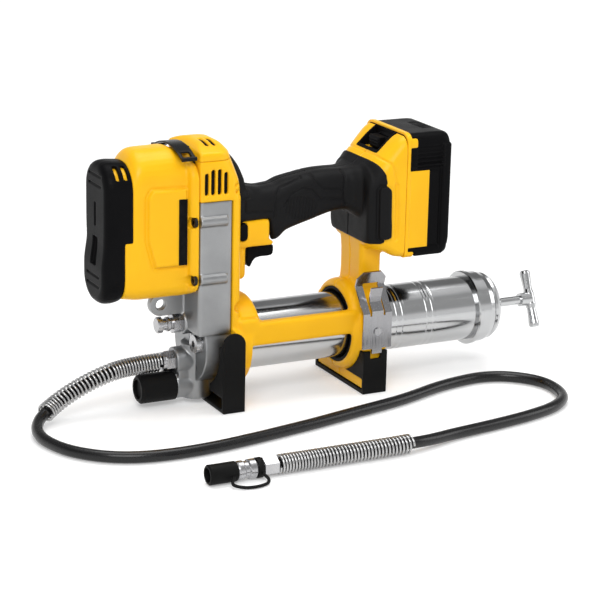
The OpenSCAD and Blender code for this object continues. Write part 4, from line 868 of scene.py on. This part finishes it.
holderRows = [(46.05, 31, 133, 186, 19, 12), (46.6, 33, 129.8, 189, 19, 12),
              (48.06, 34.2, 126.8, 192, 19, 11.5), (51.5, 35.6, 124.5, 196.8, 19, 11),
              (56.6, 37.1, 122.8, 201.8, 18.5, 10), (62.85, 38, 121.5, 207.8, 17, 9),
              (70.15, 38, 117.5, 214.8, 14, 7.5), (76, 38.1, 116.1, 219.5, 11.5, 6.5),
              (84, 38.1, 115.4, 223, 9.2, 6)]
collarTurn = [(-79.8, 38.5), (-55.5, 38.5), (-53.1, 37.35), (-51.9, 35.5), (-51.5, 34)]
ringTurn = [(33, 34.8), (33.3, 36), (34.2, 37.6), (36, 39), (38.5, 39.8), (41, 40), (65, 40)]
postRows = [(80, 46.8, 68, 21, 4, 4), (90, 47.2, 68, 20.4, 4, 4), (98, 47.5, 68, 20, 4, 4),
            (116, 47.5, 68, 20, 4, 4), (131, 46.5, 69, 21, 4, 4)]
# x and z reach with edge radius, on both sides of the collar
collarBlocks = [(-74, -62, 33, 56, 3.0), (-74, -54.5, 60, 77, 3.0)]
# block of the switch with its lip, and the web below it
switchBlocks = [(-74, -37.5, -17.5, 17.5, 136, 157, 3.5), (-74, -34, -17.2, 17.2, 133.6, 137.6, 1.8),
                (-74, -58, -15, 15, 105, 140, 4.5)]
footOutlines = [[(-92.1, 3.7), (-70.2, 3.7), (-70.2, 60), (-74, 67), (-81, 70), (-92.1, 62)],
                [(40.5, 3.7), (61.5, 3.7), (62.6, 60), (39.4, 60)]]
clipPad = (39.8, 62.2, -45.2, 45.2, 38.2, 71, 1.5)
# rooms cut out for what seats in the frame: x, y and z reach, with an edge radius where it is rounded
frameRooms = {"pumpHead": (-130, -80, -50, 50, -10, 180), "gears": (-106, -84, -27, 27, 179, 208),
              "trigger": (-58, -28.5, -9, 9, 112, 153), "packRail": (63.7, 72.8, -16.3, 16.3, 123, 240),
              "packNeck": (72.2, 95, -12.3, 12.3, 123, 240), "latch": (60, 95, -18.5, 18.5, 204.5, 240, 2.0),
              "lockButton": (-66.9, -59.1, -50, 50, 139.6, 155.4, 3.2),
              "pack": (80.05, 100, -60, 60, 100, 240), "cover": (-130, -60, -50, 50, frameSet["seam"], 250)}
# along the barrel: from, to and radius
barrelBores = [(-95, -57.9, 33.2), (-90, 80, 30), (20, 64, 33.1)]
# boots: x reach, top, hole round the barrel and half width of the notch below it
bootRooms = [(-95, -90.55, 57.1, 36.95, 17.1), (37, 41.6, 38.1, 40.1, None)]
bootSet = {"half": 41.9, "low": 12.9, "out": 60, "cheekX": (-92.8, -72.1), "cheekZ": (-5, 59),
           "cheekRound": (10.35, -82.45, 58.8)}
columnMarks = {"dimpleY": (24, 45), "dimple": (5, -72.8, 87.7), "slitX": (-78, -73.5), "slitY": (29.5, 40),
               "slitZ": ((190.6, 192.8), (185.3, 187.7))}
holderSeam = [[(58.3, 206), (58.8, 202.8), (61.5, 201.2), (65, 199), (68, 193), (70.3, 181)]]
holderGroove = [[(70.6, 180), (71.6, 159), (71.7, 133.5)]]


def holderLoft(name, grow):
    # the rear, where the pack seats, doesn't grow backwards
    front = frameSet["holderFront"]
    return loftPiece(name, [ringX(x - (grow if x < front else 0), h + grow, lo - grow, hi + grow, topR, lowR)
                            for x, h, lo, hi, topR, lowR in denser(holderRows, 4)])


def bootRoom(x0, x1, top, holeR, notch):
    # place for the upright front face of a rubber boot
    z = frameSet["barrelZ"]
    cuts = [rodPiece("t", "X", x0 - 1, x1 + 1, holeR, 0, z, sides=96)]
    if notch:
        cuts.append(boxPiece("t", x0 - 1, x1 + 1, -notch, notch, 0, z))
    return carve(boxPiece("t", x0, x1, -bootSet["half"], bootSet["half"], bootSet["low"], top), cuts)


def flatLoft(rows, steps, name="f"):
    return loftPiece(name, [ringZ(*row) for row in denser(rows, steps)])


def frameForms(s):
    forms = [flatLoft(columnLow, 3), flatLoft(columnHigh, 4), holderLoft("f", 0.0),
             turnedPiece("f", ringTurn, s["barrelZ"], n=96), flatLoft(postRows, 3)]
    collar = turnedPiece("f", collarTurn, s["barrelZ"], n=96)
    forms.append(carve(collar, [boxPiece("t", *s["collarLow"])]))
    for side in (-1, 1):
        reach = span(side, *s["barY"])
        forms.append(boxPiece("f", *s["barX"], *reach, s["barLow"], s["barTop"][side], s["barEdge"]))
        forms += [boxPiece("f", x0, x1, *reach, z0, z1, edge) for x0, x1, z0, z1, edge in collarBlocks]
    forms += [boxPiece("f", *block) for block in switchBlocks]
    forms += [prismPiece("f", outline, -s["footHalf"], s["footHalf"]) for outline in footOutlines]
    return forms + [boxPiece("f", *clipPad)]


def sideCuts(side, s):
    out = span(side, bootSet["half"], bootSet["out"])
    cuts = [boxPiece("t", *bootSet["cheekX"], *out, *bootSet["cheekZ"]),
            rodPiece("t", "Y", *out, *bootSet["cheekRound"]),
            rodPiece("t", "Y", *span(side, *columnMarks["dimpleY"]), *columnMarks["dimple"], sides=48)]
    for slit in columnMarks["slitZ"]:
        cuts.append(boxPiece("t", *columnMarks["slitX"], *span(side, *columnMarks["slitY"]), *slit))
    for k, top in enumerate(s["ventTops"]):
        x, half = s["ventX"] + s["ventPitch"] * k, s["ventWidth"] / 2
        reach = span(side, *s["ventY"])
        cuts.append(boxPiece("t", x - half, x + half, *reach, s["ventLow"], top, s["ventEdge"]))
    return cuts


def makeFrame(s):
    body = mould(joined("frameBody", frameForms(s)), s["voxel"], s["soften"])
    tools = [boxPiece("t", *room) for room in frameRooms.values()]
    tools += [rodPiece("t", "X", x0, x1, r, 0, s["barrelZ"], sides=96) for x0, x1, r in barrelBores]
    tools += [bootRoom(*room) for room in bootRooms]
    return carve(body, tools + sideCuts(-1, s) + sideCuts(1, s))


def makeCover(s):
    dome = flatLoft(columnHigh, 4, "topCover")
    mould(dome, s["edgeVoxel"], s["coverEdge"])
    half = s["slotHalf"]
    high = s["slotHigh"]
    carve(dome, [boxPiece("t", x - half, x + half, *s["slotY"], s["seam"], high) for x in s["slotX"]])
    return cutAway(dome, (0, 0, s["seam"] + s["seamGap"]), (0, 0, -1))


def makeFrameHalves(s):
    body, cover = makeFrame(s), makeCover(s)
    left, right = splitHalves(body, "leftFrameShell", "rightFrameShell")
    for obj, node in ((left, "left_frame"), (right, "right_frame"), (cover, "top_cover")):
        mould(obj, s["edgeVoxel"], s["edge"])
        if obj is not cover:
            pressLines(obj, holderSeam, *s["seamLine"], least=-1)
            pressLines(obj, holderGroove, *s["grooveLine"], test=lambda d: np.abs(d[:, 1]) > s["grooveFrom"])
        thin(obj, s["keep"])
        place(obj, "yellowShell", "yellow_plastic", "tool", node)


makeFrameHalves(frameSet)

# soft overmould of the handle and the holder
gripSet = {"voxel": 0.8, "soften": 6, "edge": 2, "keep": 0.6, "patchRise": 1.3, "barRise": 3.0, "half": 60,
           "frontRadii": (12, 4), "radii": (12, 9), "lines": (1.1, 1.1), "barGroove": (1.4, 1.2),
           "barFrom": 30}
# short curved ribs inside an oval panel on the handle
ribSet = {"count": 10, "first": -23, "pitch": 3.0, "centreX": -9.5, "centreZ": 164.5, "half": 16.5,
          "slope": 0.12, "leastReach": 0.05, "low": (-1.2, -10.5), "high": (0.6, 8.5), "groove": (0.9, 1.0),
          "facing": 0.35}
gripFront = [(-72, 156, 187, 19.5), (-59.5, 156, 185.4, 18.6), (-51.5, 156, 183.9, 18),
             (-43, 156, 182.4, 17.5), (-30, 156, 183.6, 17.5)]
gripRows = [(-37.5, 150, 182.4, 17.2), (-34.6, 138.5, 182.6, 17.4), (-32, 136.3, 183, 17.6),
            (-28, 138.2, 184.2, 17.9), (-22.6, 143, 186.5, 18), (-16, 145.6, 188, 18), (-7, 148.2, 189.7, 18),
            (2.7, 150.8, 191.3, 18), (12, 153.6, 192.2, 18), (22, 156, 192.4, 18), (32, 157, 192.2, 18.6),
            (37.8, 155.5, 192.4, 20.2), (41.8, 152, 193, 23.5), (47, 150, 194, 27)]
patchOutline = [(37, 130.2), (57, 130.2), (60, 131.4), (61.2, 134), (61.2, 183), (60.2, 190), (56.5, 197.2),
                (47.5, 207), (37, 207)]
barOutline = [(54, 137), (56, 134.4), (63.5, 134.2), (66, 136), (64.7, 177), (62, 179.6), (55.5, 180),
              (53.6, 178)]
backStrip = [(150, -73, -62, 17.5, 3, 7), (176, -73, -56.5, 17.5, 3, 8), (182, -74, -58, 17.3, 3, 8),
             (188.7, -76, -59.2, 17, 4, 8), (195, -80, -61.3, 16.5, 4, 8), (204, -84, -65.3, 15, 4, 8),
             (212, -88, -70.7, 11.5, 4, 7), (217, -91, -75.6, 9.5, 4, 5), (220.5, -93, -80, 7, 3, 4)]
barLines = [[(64, 133), (55.6, 133), (53, 136.4), (52.6, 178), (55, 181.2), (62.6, 180.8)]]
gripLines = [[(-61, 189.4), (-57, 183), (-57.5, 176.7), (-65, 175.9)],
             [(-62, 174.8), (-62, 164.3), (-35, 161.8)],
             [(-12, 195.5), (-7, 190.4), (-8.3, 187.9), (-28, 181.8), (-32.3, 176.9), (-33.8, 166.5),
              (-34.8, 157.4)],
             [(-2, 196.6), (4.8, 184.2), (10.7, 178.4), (31, 175.9)],
             [(-26, 166.2), (-19, 176.2), (-7.7, 180.4), (-0.4, 178.5), (8.5, 169.7), (30.4, 167.8)],
             [(23.6, 198.9), (30.3, 194.4), (31.5, 187.6), (30.4, 177), (30.7, 167.7), (32.7, 162.9)]]


def gripRibs(s):
    ribs = []
    for k in range(s["count"]):
        x = s["first"] + s["pitch"] * k
        along = x - s["centreX"]
        reach = math.sqrt(max(1 - (along / s["half"]) ** 2, s["leastReach"]))
        z = s["centreZ"] - s["slope"] * along
        ends = [(x + dx, z + dz * reach) for dx, dz in (s["low"], s["high"])]
        ribs.append([ends[0], (x, z), ends[1]])
    return ribs


def dressGrip(obj, s):
    pressLines(obj, gripLines, *s["lines"])
    pressLines(obj, barLines, *s["barGroove"], test=lambda d: np.abs(d[:, 1]) > s["barFrom"])
    pressLines(obj, gripRibs(ribSet), *ribSet["groove"], least=ribSet["facing"])


def makeGrips(s):
    forms = [loftPiece("f", [ringX(x, h, lo, hi, *s["frontRadii"]) for x, lo, hi, h in denser(gripFront, 3)]),
             loftPiece("f", [ringX(x, h, lo, hi, *s["radii"]) for x, lo, hi, h in denser(gripRows, 4)])]
    for rise, outline in ((s["patchRise"], patchOutline), (s["barRise"], barOutline)):
        cutter = [prismPiece("t", outline, -s["half"], s["half"])]
        forms.append(carve(holderLoft("f", rise), cutter, "INTERSECT"))
    forms.append(flatLoft(backStrip, 4))
    body = mould(joined("gripBody", forms), s["voxel"], s["soften"])
    carve(body, [boxPiece("t", *frameRooms["trigger"])])
    left, right = splitHalves(body, "leftGripSkin", "rightGripSkin")
    for obj, node in ((left, "left_grip"), (right, "right_grip")):
        mould(obj, s["voxel"], s["edge"])
        dressGrip(obj, s)
        thin(obj, s["keep"])
        place(obj, "softGrip", "soft_grip", "tool", node)


makeGrips(gripSet)

# trigger with a smooth hollow for the finger
triggerSet = {"half": 8.6, "voxel": 0.45, "soften": 8, "keep": 0.5, "stem": (-51, -37, 128, 145.4)}
triggerOutline = [(-55, 131.4), (-55, 118), (-54.3, 115), (-52.6, 114.2), (-51.2, 115.8), (-49.8, 119),
                  (-47.2, 121.4), (-43, 122.3), (-37, 122.2), (-32.6, 122.6), (-31, 124.2), (-30.6, 127.4),
                  (-30.8, 131.4)]


def makeTrigger(s):
    half = s["half"]
    x0, x1, z0, z1 = s["stem"]
    forms = [prismPiece("f", triggerOutline, -half, half), boxPiece("f", x0, x1, -half, half, z0, z1)]
    obj = mould(joined("fingerTrigger", forms), s["voxel"], s["soften"], s["keep"])
    place(obj, "blackShell", "black_plastic", "trigger", "trigger")


# battery pack: ribbed shell with a bumper at its back, and its yellow trim
packSet = {"voxel": 0.7, "soften": 3, "keep": 0.5, "bumper": 1.4, "bumperEdge": 1.2,
           "fieldGroove": (1.2, 1.0), "ribX": (90.5, 113.4), "ribGroove": (1.1, 1.2),
           "ribZ": (193.6, 197.2, 200.8, 204.4, 208, 211.6),
           "ridgeX": (107, 124), "ridgeY": (-13, 15, 4), "ridgeGroove": (1.0, 0.8), "ridgeFrom": 200,
           "trimRise": 1.0, "trimWall": 1.2, "trimFront": 70, "trimEdge": 1.2, "trimVoxel": 0.5,
           "trimSoften": 2, "trimKeep": 0.4, "latchTravel": 3.0, "latchRoom": 0.5,
           "field": (84, 102.2, 36.0, 37.5, 123.8, 191)}
# trim: how far back it reaches, and its y and z reach
trimBands = [(83.3, -60, 60, 100, 216), (88.9, -60, 60, 100, 120.3), (89.8, 19, 60, 211.5, 219),
             (89.8, -60, -19, 211.5, 219), (84.5, -60, 60, 214, 240)]
packRows = [(80.2, 37, 116, 222.5, 9, 5), (99, 37, 116, 222.5, 9, 5), (111, 37, 116.2, 222.5, 9, 5),
            (116, 37, 116.9, 222.4, 9, 5), (119.3, 36.8, 118.6, 222, 9, 6), (121.4, 36.4, 121.5, 221.2, 9, 7),
            (122.4, 35.4, 125, 219.4, 9, 7)]
bumperOutline = [(114.2, 213), (126, 213), (126, 106), (90, 106), (90, 121.6), (114.2, 121.6)]
fieldLines = [[(102.4, 191), (113.4, 191), (113.4, 124), (102.4, 124)]]


def packLoft(name, grow):
    return loftPiece(name, [ringX(x, h + grow, lo - grow, hi + grow, topR, lowR)
                            for x, h, lo, hi, topR, lowR in packRows])


def latchPocket(s):
    # room for the latch when it is pressed
    low, high = (Vector(p) * 1000 - Vector((*rowShift, 0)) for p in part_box("latch_button"))
    room = Vector((s["latchRoom"],) * 3)
    low, high = low - room, high + room
    return boxPiece("t", low.x, high.x + s["latchTravel"], low.y, high.y, low.z, high.z)


def makePack(s):
    obj = joined("packShell", [packLoft("f", 0.0), nodeCopy("f", "battery_case")])
    mould(obj, s["voxel"], s["soften"])
    pressArea(obj, bumperOutline, -s["bumper"], s["bumperEdge"], least=0.5)
    pressLines(obj, fieldLines, *s["fieldGroove"])
    pressLines(obj, [[(x, z) for x in s["ribX"]] for z in s["ribZ"]], *s["ribGroove"])
    ridges = [[(x, y) for x in s["ridgeX"]] for y in range(*s["ridgeY"])]
    pressLines(obj, ridges, *s["ridgeGroove"], facing=2, plane=(0, 1),
               test=lambda d: d[:, 2] > s["ridgeFrom"])
    thin(obj, s["keep"])
    carve(obj, [latchPocket(s)])
    place(obj, "blackShell", "black_plastic", "battery", "battery_case")


def makePackTrim(s):
    forms = []
    for back, *reach in trimBands:
        room = boxPiece("t", s["trimFront"], back, *reach, s["trimEdge"])
        band = carve(packLoft("f", s["trimRise"]), [room], "INTERSECT")
        forms.append(carve(band, [packLoft("t", -s["trimWall"])]))
    x0, x1, y0, y1, z0, z1 = s["field"]
    forms += [boxPiece("f", x0, x1, *span(side, y0, y1), z0, z1) for side in (-1, 1)]
    obj = mould(joined("packTrim", forms), s["trimVoxel"], s["trimSoften"], s["trimKeep"])
    place(obj, "yellowShell", "yellow_plastic", "battery", "battery_panel")


makeTrigger(triggerSet)
makePack(packSet)
makePackTrim(packSet)

# rubber tie of the dust cap
tetherSet = {"radius": 1.3, "sides": 4, "steps": 6, "ring": (-130.6, -125.8, 8.1, 6.1), "edge": 0.4,
             "y": -188, "z": 8.2, "bend": (-131, -152)}
tetherRoute = [(-128.2, -197.2, 6.2), (-125.6, -201, 3.5), (-128.6, -206, 1.8), (-138.6, -209, 1.6),
               (-148.6, -207, 1.6), (-155.6, -202, 3.2), (-153, -197.6, 7.2)]


def makeTether(s):
    x0, x1, outer, inner = s["ring"]
    edge = s["edge"]
    profile = [(x0, outer - edge), (x0 + edge, outer), (x1 - edge, outer), (x1, outer - edge)]
    ring = turnedPiece("f", profile, s["z"], s["y"])
    carve(ring, [rodPiece("t", "X", x0 - 1, x1 + 1, inner, s["y"], s["z"])])
    loop = asMesh(curvePiece("f", smoothLine(tetherRoute, s["steps"]), s["radius"], s["sides"]))
    obj = joined("capTether", [ring, loop])
    pick(obj)
    bpy.ops.object.shade_smooth()
    dress(obj, "rubber")
    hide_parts("tether")
    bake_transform(obj)


# follower spring inside the barrel
springSet = {"wire": 1.5, "turns": 10, "rings": 28, "sides": 3, "travel": 170}


def makeSpring(s):
    low, high = (Vector(p) * 1000 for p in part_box("follower_spring"))
    x0, x1 = low.x - rowShift[0] + s["wire"], high.x - rowShift[0] - s["wire"]
    radius = (high.z - low.z) / 2 - s["wire"]
    total = s["turns"] * s["rings"]
    line = []
    for i in range(total + 1):
        a = 2 * math.pi * i / s["rings"]
        x = x0 + (x1 - x0) * i / total
        line.append((x, radius * math.cos(a), frameSet["barrelZ"] + radius * math.sin(a)))
    obj = asMesh(curvePiece("followerCoil", line, s["wire"], s["sides"]))
    place(obj, "turnedSteel", "turned_steel", "barrel", "follower_spring")
    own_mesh(obj)


makeTether(tetherSet)
makeSpring(springSet)

# cast pump head, rubber feet and small mouldings from their solids
copyKeep = 0.5
copySet = [("pumpCasting", "pump_head", 0.75, 4, "castAlloy", "cast_alloy", "tool"),
           ("frontBoot", "front_foot", 0.7, 4, "rubber", "soft_grip", "tool"),
           ("rearBoot", "rear_foot", 0.7, 4, "rubber", "soft_grip", "tool"),
           ("lockBolt", "lock_button", 0.5, 6, "blackShell", "black_plastic", "lock_button"),
           ("strapBand", "strap_bracket", 0.45, 3, "blackCoat", "black_steel", "tool"),
           ("notchLiner", "latch_bezel", 0.5, 3, "blackShell", "black_plastic", "tool"),
           ("packLatch", "latch_button", 0.4, 3, "blackShell", "black_plastic", "latch_button")]
# round bosses on the casting that carry the housing screws
bossSet = {"x": (-109.6, -85.5), "y": 33.2, "z": shellSet["screwZ"], "r": 4.4}


def castingBosses(s):
    return [rodPiece("f", "X", *s["x"], s["r"], side * s["y"], z, sides=32)
            for side in (-1, 1) for z in s["z"]]


for name, node, voxel, smooth, look, slotName, body in copySet:
    form = nodeCopy(name, node)
    if node == "pump_head":
        form = joined(name, [form] + castingBosses(bossSet))
    place(mould(form, voxel, smooth, copyKeep), look, slotName, body, node)

# finishes of the CAD nodes that stay
nodeFinish = {
    "blackShell": ["barrel_guide", "switch_body", "terminal_block"],
    "rubber": ["valve_cap", "dust_cap", "follower"],
    "brightPlate": ["barrel_tube", "barrel_end_cap", "follower_rod", "t_handle"],
    "turnedSteel": ["foot_plug", "prime_plug", "fill_nipple", "relief_valve", "check_ball", "motor_can",
                    "motor_rotor", "crank_gear", "plunger", "clip_screw", "hose_nut", "coupler_nut",
                    "coupler_body", "battery_cells"],
    "sheetSteel": ["hose_clip"],
    "blackCoat": ["housing_screws"],
}
for look, names in nodeFinish.items():
    for n in names:
        dress(nodes[n], look)
print("CAD nodes dressed")
